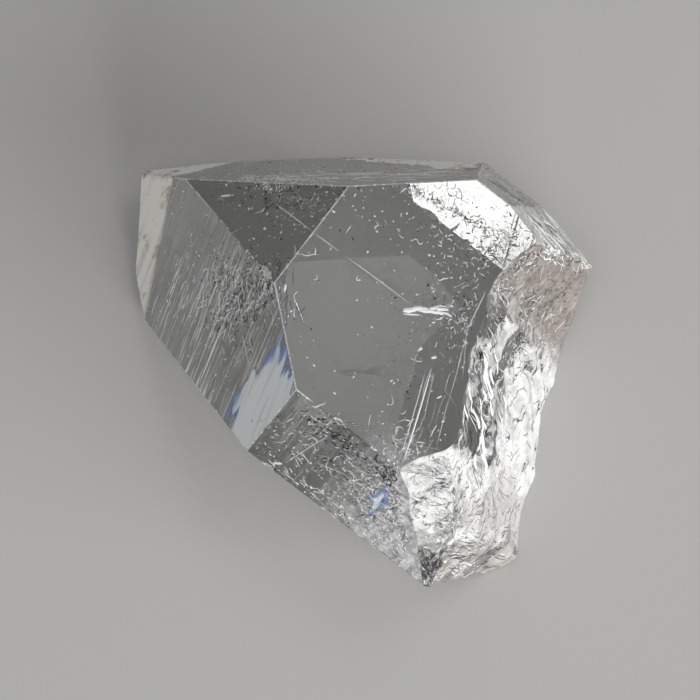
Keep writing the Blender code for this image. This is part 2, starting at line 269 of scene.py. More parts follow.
# Painted shade: dark grey wisps in the faces where cracks look dark, with the same columns.
PAINTED_SHADE_WISPS = {
    "front_point_face": ("point_300", (-10.0, -9.0, 5.6), (2.4, 1.5, 2.8), (0.22, -0.63, -0.75), 0.8,
        (0.3, 1.6), 0.05, 230),
    "front_point_edge": ("point_300", (-7.4, -8.0, 10.4), (1.0, 1.3, 1.2), (0.3, -0.5, -0.6), 1.1,
        (0.3, 1.2), 0.05, 60),
    "top_point_face": ("point_0", (-13.6, 0.6, 7.4), (3.2, 1.2, 2.2), (0.75, 0.3, 0.6), 1.3, (0.2, 1.0),
        0.045, 90),
    "main_face_by_break": ("prism_0", (7.8, 2.8, 12.0), (2.4, 3.0, 0.0), (0.3, -1.0, 0.0), 1.3, (0.2, 0.9),
        0.036, 110),
    **main_face_bands((0.5, 1.2), 0.034, 40),
    "main_face_band_d": ("prism_0", (4.4, 10.0, 12.0), (0.7, 0.2, 0.0), (1.0, 0.0, 0.0), 2.5, (0.5, 1.2),
        0.034, 30),
    "main_face_swirl": ("prism_0", (0.6, 10.8, 12.0), (0.8, 0.5, 0.0), (1.0, 0.4, 0.0), 0.9, (0.4, 1.6),
        0.03, 30),
    "main_face_bubbles": ("prism_0", (7.6, 10.4, 12.0), (0.9, 1.0, 0.0), (1.0, 0.0, 0.0), 2.6, (0.4, 1.2),
        0.03, 80),
    "back_prism_strip": ("prism_60", (6.4, 15.9, 7.2), (2.4, 0.5, 0.9), (0.8, 0.3, -0.52), 0.08, (1.5, 5.0),
        0.07, 26),
    "front_prism_net_a": ("prism_300", (6.0, -15.7, 10.4), (1.8, 0.5, 0.8), (0.8, 0.2, 0.5), 1.6,
        (0.3, 1.3), 0.055, 140),
    "front_prism_net_b": ("prism_300", (11.6, -15.6, 10.4), (1.0, 0.5, 0.8), (0.8, 0.2, 0.5), 1.6,
        (0.3, 1.3), 0.055, 85),
    "front_prism_face": ("prism_300", (9.5, -17.4, 7.2), (3.4, 0.9, 1.8), (0.8, 0.2, 0.5), 1.2, (0.3, 1.3),
        0.036, 90),
    "front_prism_by_break": ("prism_300", (14.6, -17.0, 7.6), (2.0, 1.2, 2.2), (0.7, 0.3, 0.6), 1.9,
        (0.3, 1.5), 0.032, 330),
}
# Curls and ridges on the break: their middle and spread as (Y, Z) in mm, heading in degrees
# from +Y towards +Z, how far it strays (0..1), length range, half width, and how many.
BREAK_CURLS = {
    "blades": ((-2.8, 6.6), (3.2, 2.3), 236, 0.14, (1.4, 4.5), 0.15, 42),
    "blade_threads": ((-2.0, 7.0), (3.6, 3.0), 235, 0.6, (0.3, 2.0), 0.034, 220),
    "rim": ((-6.4, 11.0), (2.8, 0.7), 180, 0.25, (0.6, 3.2), 0.04, 45),
    "lumps": ((6.6, -0.2), (2.2, 2.8), 300, 1.1, (0.4, 2.4), 0.032, 120),
    "lumps_low": ((11.0, -6.5), (1.8, 2.6), 280, 1.1, (0.4, 2.0), 0.03, 60),
    "shelf": ((11.5, 4.0), (3.0, 4.0), 300, 1.5, (0.1, 0.3), 0.018, 50),
    "shelf_rim": ((6.0, 9.4), (0.9, 1.8), 290, 0.7, (0.4, 1.8), 0.026, 44),
    "shelf_low_edge": ((7.4, 4.2), (1.0, 1.8), 290, 0.6, (0.5, 2.2), 0.03, 36),
    "bubbles": ((10.4, 10.2), (1.4, 1.0), 0, 2.8, (0.5, 1.2), 0.026, 80),
    "back_rim_a": ((14.0, 9.6), (0.8, 1.2), 300, 0.4, (0.8, 3.5), 0.055, 50),
    "back_rim_b": ((15.6, 6.8), (0.8, 1.2), 300, 0.4, (0.8, 3.5), 0.055, 46),
    "back_rim_c": ((17.6, 3.8), (0.5, 1.2), 300, 0.25, (0.6, 3.0), 0.045, 26),
    "back_rim_d": ((18.8, 0.8), (0.6, 1.4), 290, 0.4, (0.5, 2.4), 0.04, 36),
    "corner": ((-14.6, 8.2), (2.6, 2.2), 200, 1.6, (0.4, 1.7), 0.03, 190),
    "corner_top": ((-12.0, 10.6), (1.8, 0.9), 190, 0.9, (0.4, 2.0), 0.028, 60),
    "low_facet": ((-14.5, 0.6), (3.2, 3.2), 312, 0.3, (0.6, 2.6), 0.022, 80),
    "low_facet_end": ((-9.8, -7.6), (1.9, 1.4), 318, 0.35, (0.5, 2.4), 0.026, 40),
    "low_rim": ((-15.8, -4.2), (2.0, 3.0), 312, 0.2, (0.8, 3.5), 0.05, 60),
    "chip": ((-18.8, 3.4), (0.9, 1.3), 70, 0.7, (0.4, 1.8), 0.05, 60),
}
# Painted shadows on the break: dark grey curls where cracks look dark, with the same columns.
PAINTED_SHADOW_CURLS = {
    "blades": ((-2.6, 6.4), (3.4, 2.6), 236, 0.22, (0.5, 3.6), 0.05, 150),
    "lumps": ((7.6, 0.4), (2.8, 3.4), 300, 1.1, (0.4, 2.2), 0.032, 250),
    "shelf": ((12.0, 3.0), (3.2, 4.6), 300, 1.5, (0.12, 0.6), 0.02, 320),
    "shelf_crumbs": ((14.6, -1.0), (2.2, 2.6), 300, 1.8, (0.2, 0.9), 0.026, 150),
    "bubbles": ((10.4, 10.2), (1.5, 1.1), 0, 2.6, (0.5, 1.2), 0.026, 120),
    "back_rim": ((15.9, 7.0), (0.9, 2.2), 300, 0.25, (0.6, 3.0), 0.032, 60),
    "white_cracks": ((3.5, -5.0), (4.2, 5.0), 250, 0.45, (0.6, 3.2), 0.02, 60),
    "white_cracks_low": ((-4.0, -1.0), (2.6, 4.0), 262, 0.45, (0.6, 3.2), 0.022, 70),
    "shell_cracks": ((-9.6, 1.0), (2.2, 4.0), 300, 0.9, (0.4, 2.4), 0.018, 40),
    "shelf_rim": ((6.2, 9.2), (1.1, 1.8), 290, 0.8, (0.4, 1.8), 0.03, 80),
    "corner": ((-14.6, 8.2), (2.6, 2.2), 200, 1.6, (0.4, 1.7), 0.028, 240),
    "corner_top": ((-12.0, 10.6), (1.8, 0.9), 190, 0.9, (0.4, 2.0), 0.026, 80),
    "low_facet": ((-14.5, 0.6), (3.2, 3.2), 312, 0.35, (0.6, 3.0), 0.028, 210),
    "low_facet_end": ((-9.8, -7.6), (2.1, 1.6), 318, 0.4, (0.5, 2.6), 0.028, 110),
    "chip": ((-18.7, 3.2), (0.9, 1.3), 70, 0.6, (0.8, 2.6), 0.17, 60),
}
BREAK_UP = (0.80, 0.33, 0.50)  # the way that the break looks out, on the whole
# Shapes of these slivers: the range of their widths, their height as a share of the width and
# at most, and how far inside the faces they stay (mm).
FEATHER_SHAPE = ((0.35, 1.5), 0.15, math.inf, 0.12)
WISP_SHAPE = ((0.4, 1.6), 1.0, 0.03, 0.12)
CURL_SHAPE = ((0.4, 1.6), 0.7, math.inf, 0.10)
WISP_SINK = 0.2            # mm under a wisp, and under a curl, that have to be stone
CURL_SINK = 1.6
CURL_LIFT = 0.02           # mm by which a curl stands off the relief
# Where the faces are bruised beside the break: none to full along X, and along Y, in mm.
BRUISE_FRONT = ((7.0, 15.0), (-11.0, -15.0))
BRUISE_BACK = ((12.0, 15.0), (13.8, 16.5))
# How many bright pits and dust grains lie on each face; there are fewer dark ones.
FLECKS = {
    "prism_0": 240, "point_0": 280, "point_300": 170, "prism_300": 240, "point_60": 260, "prism_60": 110,
    "point_240": 25, "prism_240": 45, "point_120": 35, "prism_120": 45,
}
FLECK_SIZE = (0.035, 0.115)
FLECK_STRETCH = (1.0, 2.4)
DARK_FLECK_SHARE = 0.3
# Where two steps to more flecks lie (mm), and how steep they are: towards +Y and the break.
FLECK_SIDE_STEP = (1.0, 0.6)
FLECK_BREAK_STEP = (6.0, 0.5)
FLECK_REACH = 30.0         # mm each way over which a face is sown
FLECK_TRIES = 60           # places tried for each fleck wanted
FLECK_INSIDE = (0.2, 0.15)     # mm under a fleck that have to be stone, and by what margin
GRAIN_FLATNESS = 0.45      # height of a fleck or flake, as a share of its size
EDGE_FLAKES_PER_MM = 1.3   # tiny bruises along each edge between two growth faces
EDGE_FLAKE_SIZE = (0.04, 0.14)
EDGE_FLAKE_STRETCH = (1.0, 3.5)
EDGE_FLAKE_SINK = 0.03     # mm that they lie under the sharp edge
EDGE_FLAKE_INSIDE = (0.35, 0.05)   # mm under one that have to be stone, and by what margin
PAST_THE_BREAK = np.array([60.0, 0.0, 0.0])    # carries a prism edge past the broken end
# Thin sheets on the faces: the face, the outline in mm as points on it, how far the sheet frays
# along the growth lines (mm), and how far its colours reach in from the edge (mm).
# Painted sheen: bright patches of thin cracks and their interference colours, with the same columns.
PAINTED_SHEENS = {
    "sheen_crack": ("point_300", ((-3.55, -11.6, 12.6), (0.6, -15.6, 12.6), (2.4, -21.5, 2.6),
        (0.0, -21.6, -2.2), (-2.94, -18.5, 0.91), (-4.2, -17.3, 0.9), (-4.4, -16.4, 2.3),
        (-4.6, -15.08, 4.2), (-3.9, -14.5, 6.6), (-4.3, -13.3, 8.1), (-4.9, -12.1, 9.55),
        (-4.2, -11.6, 11.5)), 1.9, 1.05),
    "sheen_spot": ("prism_300", ((11.6, -18.1, 6.2), (12.2, -16.7, 8.6), (14.1, -16.9, 8.3),
        (13.8, -18.6, 5.4)), 1.8, 1.5),
}
# Painted light: pale cream sheets on the slivers near the tip and at the back, with the same columns.
PAINTED_LIGHT_VEILS = {
    "painted_light_veil_at_tip": ("point_300", ((-27.2, -1.5, -7.8), (-22.6, -1.27, -0.24), (-20.3, -5.52, -3.96),
        (-18.99, -7.9, -6.05), (-17.24, -11.1, -8.83), (-16.24, -12.85, -10.3), (-17.7, -13.1, -13.1)), 0.2,
        1.0),
    "painted_light_veil_behind_tip": ("point_60", ((-26.2, -0.13, -8.3), (-24.7, -2.4, -2.1),
        (-22.45, -1.12, -0.69), (-21.43, 1.36, -3.39), (-19.42, 6.11, -8.46), (-19.85, 7.25, -11.1),
        (-22.53, 4.28, -10.19)), 0.15, 1.0),
    "painted_light_veil_at_back": ("point_60", ((-10.2, 14.84, -9.07), (-10.13, 13.89, -7.28), (-3.93, 15.19, 0.21),
        (-2.01, 15.41, 2.84), (1.73, 17.61, 4.92), (1.56, 21.15, -1.44), (-4.22, 18.24, -5.51)), 1.3, 1.0),
}
SHEET_STEP = 0.14          # mm between the points of a sheet's grid
SHEET_LIFT = 0.012         # mm that a sheet stands off its face
SHEET_MARGIN = 1.5         # mm of grid round the outline, for the frayed edge
SHEET_INSIDE = (0.05, 0.01)    # mm under it that have to be stone, and by what margin
SHEET_SETS_IN = 0.4        # mm inside the outline over which a sheet's cover sets in
SHEET_THICKENS = 0.9       # mm over which it then grows to its full cover
LEAST_COLOUR_WIDTH = 0.25  # mm
LEAST_COVER = 0.02         # where a sheet covers less, it is left open
# Noises in a sheet, drawn out along the growth lines: their width and length (mm), and seed.
SHEET_FRAY, SHEET_FINE_FRAY = (0.55, 4.0, 61), (0.22, 2.0, 62)
SHEET_LINES, SHEET_BANDS = (0.26, 6.0, 63), (0.60, 9.0, 65)
SHEET_COLOURS = (2.2, 3.0, 64)

QUARTZ_IOR = 1.544
SMOKE_DENSITY = 50.0       # per metre

# Where the camera stands and how it is turned, in the crystal's own frame.
CAMERA_RIGHT = Vector((0.7935, 0.5745, 0.2010))
CAMERA_DOWN = Vector((0.6076, -0.7671, -0.2060))
CAMERA_FORWARD = Vector((0.0359, 0.2856, -0.9577))
CAMERA_PLACE = Vector((-5.87, -69.68, 217.6))
CAMERA_SENSOR = 36.0       # mm
CAMERA_LENS = 114.97       # mm
# Softboxes: azimuth and elevation in degrees, distance, width and height in metres, radiance.
SOFTBOXES = {
    "overhead_window": (90, 67, 0.60, 0.30, 0.24, 1.6),
    "base_light": (348, 21, 1.10, 1.63, 0.352, 10.0),
    "soft_top": (250, 66, 0.70, 0.34, 0.34, 2.6),
}
LIGHT_TARGET = Vector((0.0, 0.0, 0.012))
WORLD_LEVEL = 0.21
FLOOR_HALF_SIZE = 0.45     # metres
FLOOR_LEVEL = -0.00005


# ---------------------------------------------------------------- the crystal's geometry

PARALLEL = 1e-6            # three faces whose normals' triple product is less share no corner
TOUCHING = 1e-6            # mm by which a corner may lie outside a face


def unit(vectors, least=0.0):
    """Vectors along the last axis, each divided by its length; least keeps that above nothing."""
    return vectors / (np.linalg.norm(vectors, axis=-1, keepdims=True) + least)


def prism_normal(azimuth):
    """The way that a prism face looks out: turned from +Z towards +Y by its azimuth."""
    turn = math.radians(azimuth)
    return np.array([0.0, math.sin(turn), math.cos(turn)])


def point_normal(azimuth):
    """The way that a pyramid face looks out: the prism face's, tilted towards the tip."""
    tilt = math.radians(POINT_FACE_ANGLE)
    return prism_normal(azimuth) * math.sin(tilt) - np.array([math.cos(tilt), 0.0, 0.0])


# Each growth face's outward normal and its distance along that from the origin.
FACES = {f"prism_{a}": (prism_normal(a), d) for a, d in PRISM_FACES.items()}
FACES.update({f"point_{a}": (point_normal(a), d) for a, d in POINT_FACES.items()})
NORMALS = np.array([normal for normal, _ in FACES.values()])
LIMITS = np.array([limit for _, limit in FACES.values()])


def crystal_corners():
    """Corners of the capped end as {three face names: point}, those inside every plane.

    A corner is the solution of its three faces' plane equations.
    """
    names, corners = list(FACES), {}
    for trio in itertools.combinations(range(len(names)), 3):
        own = list(trio)
        if abs(np.linalg.det(NORMALS[own])) < PARALLEL:
            continue
        place = np.linalg.solve(NORMALS[own], LIMITS[own])
        if np.all(NORMALS @ place <= LIMITS + TOUCHING):
            corners[tuple(names[k] for k in trio)] = place
    return corners


def section_corners():
    """The six corners of the prism's cross-section, as rows of (Y, Z) in order of azimuth."""
    faces = list(PRISM_FACES.items())
    rows = []
    for (a, near), (b, far) in zip(faces, faces[1:] + faces[:1]):
        sides = np.array([prism_normal(a)[1:], prism_normal(b)[1:]])
        rows.append(np.linalg.solve(sides, np.array([near, far])))
    return np.array(rows)


OWN_CORNERS = crystal_corners()
own_points = np.array(list(OWN_CORNERS.values()))


def shared_edge(one, other):
    """The corners that two faces share, and the way that the edge between them looks out."""
    ends = [place for trio, place in OWN_CORNERS.items() if one in trio and other in trio]
    return ends, unit(FACES[one][0] + FACES[other][0])


def face_axes(name):
    """Unit vectors in a growth face: along its growth lines, and across them."""
    normal = FACES[name][0]
    along = np.array(GROWTH_LINES[name]) if name in GROWTH_LINES else np.cross(normal, [1.0, 0.0, 0.0])
    along = along - normal * (along @ normal)
    along /= np.linalg.norm(along)
    return along, np.cross(normal, along)


def face_at(place):
    """The growth face that a point lies on: the one whose plane it comes nearest to."""
    return min(FACES, key=lambda name: abs(FACES[name][0] @ np.array(place) - FACES[name][1]))


# ---------------------------------------------------------------- the break's relief

def smooth_min(a, b, width):
    """The lower of two heights, rounded off over a width where they cross."""
    near = np.clip(0.5 + 0.5 * (b - a) / width, 0.0, 1.0)
    return b + (a - b) * near - width * near * (1.0 - near)


def plate(y, z, shape):
    """X of a plate of the break: reach + rise * Z + side * Y."""
    reach, rise, side = shape
    return reach + rise * z + side * y


def scoops(y, z, seed, spacing, stretch, bend, step):
    """Lowest of many shallow bowls: r^2 / (2 * bend) - depth, on a jittered grid of middles."""
    draw = np.random.default_rng(seed)
    steps = np.arange(-BREAK_HALF_WIDTH, BREAK_HALF_WIDTH + spacing, spacing)
    middle_y, middle_z = np.meshgrid(steps * stretch, steps)
    middle_y = middle_y.ravel() + draw.uniform(-0.5, 0.5, middle_y.size) * spacing * stretch
    middle_z = middle_z.ravel() + draw.uniform(-0.5, 0.5, middle_z.size) * spacing
    depth = draw.uniform(0.0, step, middle_y.size)
    across = ((y[:, None] - middle_y) / stretch) ** 2 + (z[:, None] - middle_z) ** 2
    return np.min(across / (2.0 * bend) - depth, axis=1)


def ripples(y, z):
    """Rings round the blow: a sine of the distance, leaned so that one side is steeper."""
    phase = 2.0 * math.pi * np.hypot(y - RIPPLE_SOURCE[0], z - RIPPLE_SOURCE[1]) / RIPPLE_SPACING
    return RIPPLE_HEIGHT * np.sin(phase + RIPPLE_LEAN * np.sin(phase))


def lattice_noise(u, v, seed):
    """Smooth noise in -1..1: random values on whole numbers, blended by a cubic between."""
    table = np.random.default_rng(seed).uniform(-1.0, 1.0, (256, 256))
    iu, iv = np.floor(u).astype(int), np.floor(v).astype(int)
    fu, fv = u - iu, v - iv
    su, sv = fu * fu * (3.0 - 2.0 * fu), fv * fv * (3.0 - 2.0 * fv)
    a, b = table[iu % 256, iv % 256], table[(iu + 1) % 256, iv % 256]
    c, d = table[iu % 256, (iv + 1) % 256], table[(iu + 1) % 256, (iv + 1) % 256]
    return (a * (1 - su) + b * su) * (1 - sv) + (c * (1 - su) + d * su) * sv


def splinters(y, z, seed, spacing, stretch, bend, lean, step):
    """Height and shade of splintered stone: the lowest of many small leaning bowls.

    Bowl: r^2 / (2 * bend) + lean . offset - step, one to a cell of a jittered grid that is
    stretched along Y. The shade is a random 0..1 that the lowest bowl owns.
    """
    draw = np.random.default_rng(seed).uniform(-0.5, 0.5, (6, 128, 128))
    u, v = (y + 0.3 * z) / (spacing * stretch), z / spacing
    cell_u, cell_v = np.floor(u).astype(int), np.floor(v).astype(int)
    lowest, shade = np.full(y.shape, np.inf), np.zeros(y.shape)
    for next_u, next_v in itertools.product((-1, 0, 1), repeat=2):
        i, j = (cell_u + next_u) % 128, (cell_v + next_v) % 128
        off_u = u - (cell_u + next_u + 0.5 + draw[0, i, j])
        off_v = v - (cell_v + next_v + 0.5 + draw[1, i, j])
        bowl = spacing * spacing * (off_u ** 2 + off_v ** 2) / (2.0 * bend)
        tilt = spacing * lean * (off_u * draw[2, i, j] + off_v * draw[3, i, j])
        height = bowl + tilt + step * draw[4, i, j]
        nearer = height < lowest
        lowest = np.where(nearer, height, lowest)
        shade = np.where(nearer, draw[5, i, j] + 0.5, shade)
    return lowest, shade


def depth_inside(y, z, outline):
    """Distance in mm to the nearest side of an outline, negative outside it.

    A ray along Y that crosses an odd number of sides starts inside.
    """
    nearest, inside = np.full(y.shape, np.inf), np.zeros(y.shape, bool)
    for (ay, az), (by, bz) in zip(outline, outline[1:] + outline[:1]):
        along = ((y - ay) * (by - ay) + (z - az) * (bz - az)) / ((by - ay) ** 2 + (bz - az) ** 2)
        along = np.clip(along, 0.0, 1.0)
        nearest = np.minimum(nearest, np.hypot(y - ay - along * (by - ay), z - az - along * (bz - az)))
        if az != bz:
            inside ^= ((az > z) != (bz > z)) & (y < (by - ay) * (z - az) / (bz - az) + ay)
    return np.where(inside, nearest, -nearest)


def break_plates(y, z):
    """X of the plates' envelope, and how much each place is shelf and is steep side."""
    main, shelf = plate(y, z, BREAK_MAIN), plate(y, z, BREAK_SHELF)
    on_shelf = np.clip(0.5 + (shelf - main) / SHELF_BLEND, 0.0, 1.0)
    face = np.maximum(main, shelf)
    on_steep = np.clip(0.5 + (face - plate(y, z, BREAK_STEEP_SIDE)) / SHELF_BLEND, 0.0, 1.0)
    for cut in (BREAK_STEEP_SIDE, BREAK_FRONT_CHIP, BREAK_LOW_FACET, BREAK_HEEL):
        face = smooth_min(face, plate(y, z, cut), PLATE_BLEND)
    return face, on_shelf, on_steep


def patch_values(y, z):
    """White share, clear and white frost, flake height and stain, blended across patches."""
    ragged = PATCH_RAGGED * lattice_noise(y / PATCH_WANDER[0] + 9.0, z / PATCH_WANDER[1] + 9.0, 51)
    values = np.repeat(np.array(WHITE_FLAKES)[:, None], y.size, axis=1)
    for outline, *levels in BREAK_PATCHES.values():
        share = np.clip(0.5 + (depth_inside(y, z, outline) + ragged), 0.0, 1.0)
        values += (np.array(levels)[:, None] - values) * share
    return values


def break_surface(y, z):
    """X, frost and stain of the broken end at each (Y, Z).

    The plates' envelope carries the big scoops and ripples, and then splinters of three sizes.
    The splinters' shades together say which flakes are bruised white.
    """
    face, on_shelf, on_steep = break_plates(y, z)
    calm = 1.0 - (1.0 - SHELF_RELIEF) * on_shelf
    big = scoops(y, z, **SCOOPS) - SCOOP_LEVEL
    face = face + calm * (big + ripples(y, z))
    on_shelf = on_shelf * (1.0 - on_steep)
    white_share, clear_frost, white_frost, stand, stain = patch_values(y, z)
    fine = shade = 0.0
    for shape, level, part in SPLINTERS:
        flakes, own_shade = splinters(y, z, *shape)
        fine, shade = fine + (flakes + level), shade + part * own_shade
    face = face + stand * (1.0 - (1.0 - SHELF_FLAKES) * on_shelf) * fine
    shade = 0.5 + (shade - 0.5) * SHADE_CONTRAST
    white = np.clip(0.5 + (white_share - shade) / WHITE_EDGE, 0.0, 1.0)
    frost = clear_frost + (white_frost - clear_frost) * white
    frost = frost + (SHELF_FROST[0] + SHELF_FROST[1] * (own_shade - 0.5) - frost) * on_shelf
    return face, frost, stain + (1.0 - stain) * on_shelf


def inside_crystal(places, margin):
    """Whether points lie inside every growth face, and inside the break, by a margin in mm."""
    face, _, _ = break_plates(places[:, 1], places[:, 2])
    below = np.all(places @ NORMALS.T <= LIMITS - margin, axis=1)
    return below & (places[:, 0] < face - DEEPEST_SCOOP - margin)


# ---------------------------------------------------------------- mesh making

node_low, node_high = (np.array(corner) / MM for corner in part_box("quartz_point"))
# The tip, the sharp upper side edge and the face it lies on give the place of the axis.
PLACE = np.array([
    node_low[0] - own_points[:, 0].min(),
    node_high[1] - section_corners()[:, 0].max(),
    node_low[2] + PRISM_FACES[180],
])


def place_object(name, data):
    placed = bpy.data.objects.new(name, data)
    bpy.context.scene.collection.objects.link(placed)
    return placed


def place_mesh(name, points, faces, materials):
    """A mesh object at the origin from points in mm in the crystal's own frame."""
    mesh = bpy.data.meshes.new(name)
    mesh.from_pydata(((points + PLACE) * MM).tolist(), [], faces)
    for material in materials:
        mesh.materials.append(material)
    mesh.update()
    return place_object(name, mesh)


def make_piece(name, points, faces, *materials, smooth=False):
    piece = place_mesh(name, points, faces, materials)
    piece.data.polygons.foreach_set("use_smooth", np.full(len(piece.data.polygons), smooth))
    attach(piece, "root")
    return piece


def add_attribute(piece, name, values, domain="POINT"):
    layer = piece.data.attributes.new(name, "FLOAT", domain)
    layer.data.foreach_set("value", np.asarray(values, dtype=np.float32))


def apply_modifier(piece, kind, **settings):
    modifier = piece.modifiers.new(kind.lower(), kind)
    for setting, value in settings.items():
        setattr(modifier, setting, value)
    with bpy.context.temp_override(object=piece, active_object=piece, selected_objects=[piece]):
        bpy.ops.object.modifier_apply(modifier=modifier.name)


def join_meshes(meshes):
    """One list of points and faces from several, each with its numbers moved up."""
    points, faces, start = [], [], 0
    for some_points, some_faces in meshes:
        points.append(some_points)
        faces += [[v + start for v in face] for face in some_faces]
        start += len(some_points)
    return np.vstack(points), faces


def ring_start(ring):
    """Number of a ring's first point, when ring r has 6 r points round one in the middle."""
    return 1 + 3 * ring * (ring - 1) if ring else 0


def break_points(corners):
    """Rings of points from the middle of the section to its rim."""
    rings = [np.zeros((1, 2))]
    following = np.roll(corners, -1, axis=0)
    for ring in range(1, BREAK_RINGS + 1):
        along = (np.arange(ring) / ring)[None, :, None]
        edge = (1.0 - along) * corners[:, None, :] + along * following[:, None, :]
        rings.append(edge.reshape(-1, 2) * ring / BREAK_RINGS)
    return np.vstack(rings)


def break_triangles():
    """Triangles between neighbouring rings: each side has r outward and r - 1 inward ones."""
    triangles = []
    for ring in range(1, BREAK_RINGS + 1):
        number = np.arange(6 * ring)
        side, step = np.divmod(number, ring)
        inner_count = max(6 * (ring - 1), 1)
        a = ring_start(ring) + number
        b = ring_start(ring) + (number + 1) % (6 * ring)
        c = ring_start(ring - 1) + (side * (ring - 1) + step) % inner_count
        d = ring_start(ring - 1) + (side * (ring - 1) + step + 1) % inner_count
        triangles.append(np.stack([a, b, c], axis=1))
        triangles.append(np.stack([c, b, d], axis=1)[step < ring - 1])
    return np.vstack(triangles)


def outline_of(name, corner_ids):
    """A pyramid face's corners, sorted by bearing round its middle, anticlockwise outside."""
    normal = FACES[name][0]
    ids = [number for number, trio in enumerate(OWN_CORNERS) if name in trio]
    offset = own_points[ids] - own_points[ids].mean(axis=0)
    across = unit(np.cross(normal, [0.31, 0.52, 0.79]))
    order = np.argsort(np.arctan2(offset @ np.cross(normal, across), offset @ across))
    return [int(corner_ids[ids[k]]) for k in order]


def crystal_mesh(*materials):
    """The whole crystal: the relief of the break, and flat growth faces down to its rim."""
    yz = break_points(section_corners())
    reach, frost, stain = break_surface(yz[:, 0], yz[:, 1])
    points = np.vstack([np.column_stack([reach, yz]), own_points])
    corner_ids = len(yz) + np.arange(len(own_points))
    rim = ring_start(BREAK_RINGS) + np.arange(6 * BREAK_RINGS)
    faces = []
    for number, azimuth in enumerate(PRISM_FACES):
        side = (number - 1) % 6
        edge = rim[(side * BREAK_RINGS + np.arange(BREAK_RINGS + 1)) % len(rim)]
        sideways = points[edge[-1]] - points[edge[0]]
        ids = [k for k, trio in enumerate(OWN_CORNERS) if f"prism_{azimuth}" in trio]
        ids.sort(key=lambda k: -own_points[k] @ sideways)
        faces.append([int(v) for v in edge] + [int(corner_ids[k]) for k in ids])
    faces += [outline_of(f"point_{azimuth}", corner_ids) for azimuth in POINT_FACES]
    faces += break_triangles().tolist()
    piece = make_piece("crystal", points, faces, *materials)
    mesh = piece.data
    on_break = np.arange(len(faces)) >= len(FACES)
    mesh.polygons.foreach_set("material_index", on_break.astype(int))
    mesh.polygons.foreach_set("use_smooth", on_break)
    change_mesh(piece, turn_outwards)
    # The corners of the faceted end carry the edge strip's white: bruising and painted highlight.
    add_attribute(piece, "frost", np.append(frost, np.full(len(own_points), EDGE_BRUISE_AND_HIGHLIGHT)))
    add_attribute(piece, "stain", np.append(stain, np.zeros(len(own_points))))
    haze = [FACE_HAZE_AND_LIGHT.get(name, 0.0) for name in FACES]
    add_attribute(piece, "haze", np.append(haze, np.zeros(len(faces) - len(FACES))), "FACE")
    lines = mesh.uv_layers.new(name="growth_lines")
    uv = np.zeros((len(mesh.loops), 2))
    for polygon, name in zip(mesh.polygons[:len(FACES)], FACES):
        along, across = face_axes(name)
        loops = np.arange(polygon.loop_start, polygon.loop_start + polygon.loop_total)
        corner = np.array([mesh.loops[k].vertex_index for k in loops])
        uv[loops] = np.column_stack([points[corner] @ along, points[corner] @ across])
    lines.data.foreach_set("uv", (uv * UV_PER_MM).ravel())
    return piece


def change_mesh(piece, change):
    bm = bmesh.new()
    bm.from_mesh(piece.data)
    change(bm)
    bm.to_mesh(piece.data)
    bm.free()


def turn_outwards(bm):
    """Recalculates the normals so that every face of a closed piece points outwards."""
    bmesh.ops.recalc_face_normals(bm, faces=bm.faces)


def mark_face_edges(bm):
    """Marks the edges where two growth faces meet."""
    weight = bm.edges.layers.float.new("bevel_weight_edge")
    for edge in bm.edges:
        if len(edge.link_faces) == 2 and all(face.material_index == 0 for face in edge.link_faces):
            edge[weight] = 1.0


def soften_edges(piece):
    """A narrow chamfer along the edges where two growth faces meet, as handling leaves; its white is
    bruising and painted highlight.
    """
    change_mesh(piece, mark_face_edges)
    apply_modifier(piece, "BEVEL", width=EDGE_WEAR * MM, segments=1, limit_method="WEIGHT",
                   offset_type="WIDTH", material=1)


def unit_ball(count_around=48, count_up=24):
    """A ball of radius 1: rings of points by longitude and latitude between two poles."""
    turn = np.arange(count_around) / count_around * 2.0 * math.pi
    rise = (np.arange(1, count_up) / count_up - 0.5) * math.pi
    turn, rise = np.meshgrid(turn, rise)
    rings = np.stack([np.cos(rise) * np.cos(turn), np.cos(rise) * np.sin(turn), np.sin(rise)], axis=2)
    points = np.vstack([rings.reshape(-1, 3), [[0, 0, -1.0], [0, 0, 1.0]]])
    ring, step = np.meshgrid(np.arange(count_up - 2), np.arange(count_around), indexing="ij")
    a = ring * count_around + step
    b = ring * count_around + (step + 1) % count_around
    sides = np.stack([a, b, b + count_around, a + count_around], axis=2).reshape(-1, 4).tolist()
    around = np.arange(count_around)
    ahead, last = (around + 1) % count_around, (count_up - 2) * count_around
    low, high = np.full(count_around, len(points) - 2), np.full(count_around, len(points) - 1)
    bottom = np.column_stack([low, ahead, around]).tolist()
    top = np.column_stack([last + around, last + ahead, high]).tolist()
    return points, sides + bottom + top


def cut_nicks(piece, materials):
    """Takes small round bites out of the edges, each where a ball dips into an edge."""
    ball, ball_faces = unit_ball()
    balls = []
    for one, other, fraction, length, depth in NICKS.values():
        ends, outward = shared_edge(one, other)
        ends.sort(key=lambda place: place[0])
        if len(ends) < 2:
            _, y, z = ends[0]
            ends.append(np.array([break_surface(np.array([y]), np.array([z]))[0][0], y, z]))
        radius = (length * length / 4.0 + depth * depth) / (2.0 * depth)
        middle = ends[0] + fraction * (ends[1] - ends[0]) + outward * (radius - depth)
        balls.append((ball * radius + middle, ball_faces))
    cutter = place_mesh("nick_cutter", *join_meshes(balls), materials)
    count = len(cutter.data.polygons)
    cutter.data.polygons.foreach_set("material_index", np.ones(count, dtype=int))
    cutter.data.polygons.foreach_set("use_smooth", np.ones(count, dtype=bool))
    change_mesh(cutter, turn_outwards)
    add_attribute(cutter, "frost", np.full(len(cutter.data.vertices), NICK_FROST))
    apply_modifier(piece, "BOOLEAN", object=cutter, operation="DIFFERENCE", solver="EXACT")
    bpy.data.objects.remove(cutter)


# ---------------------------------------------------------------- cracks, flecks and lint

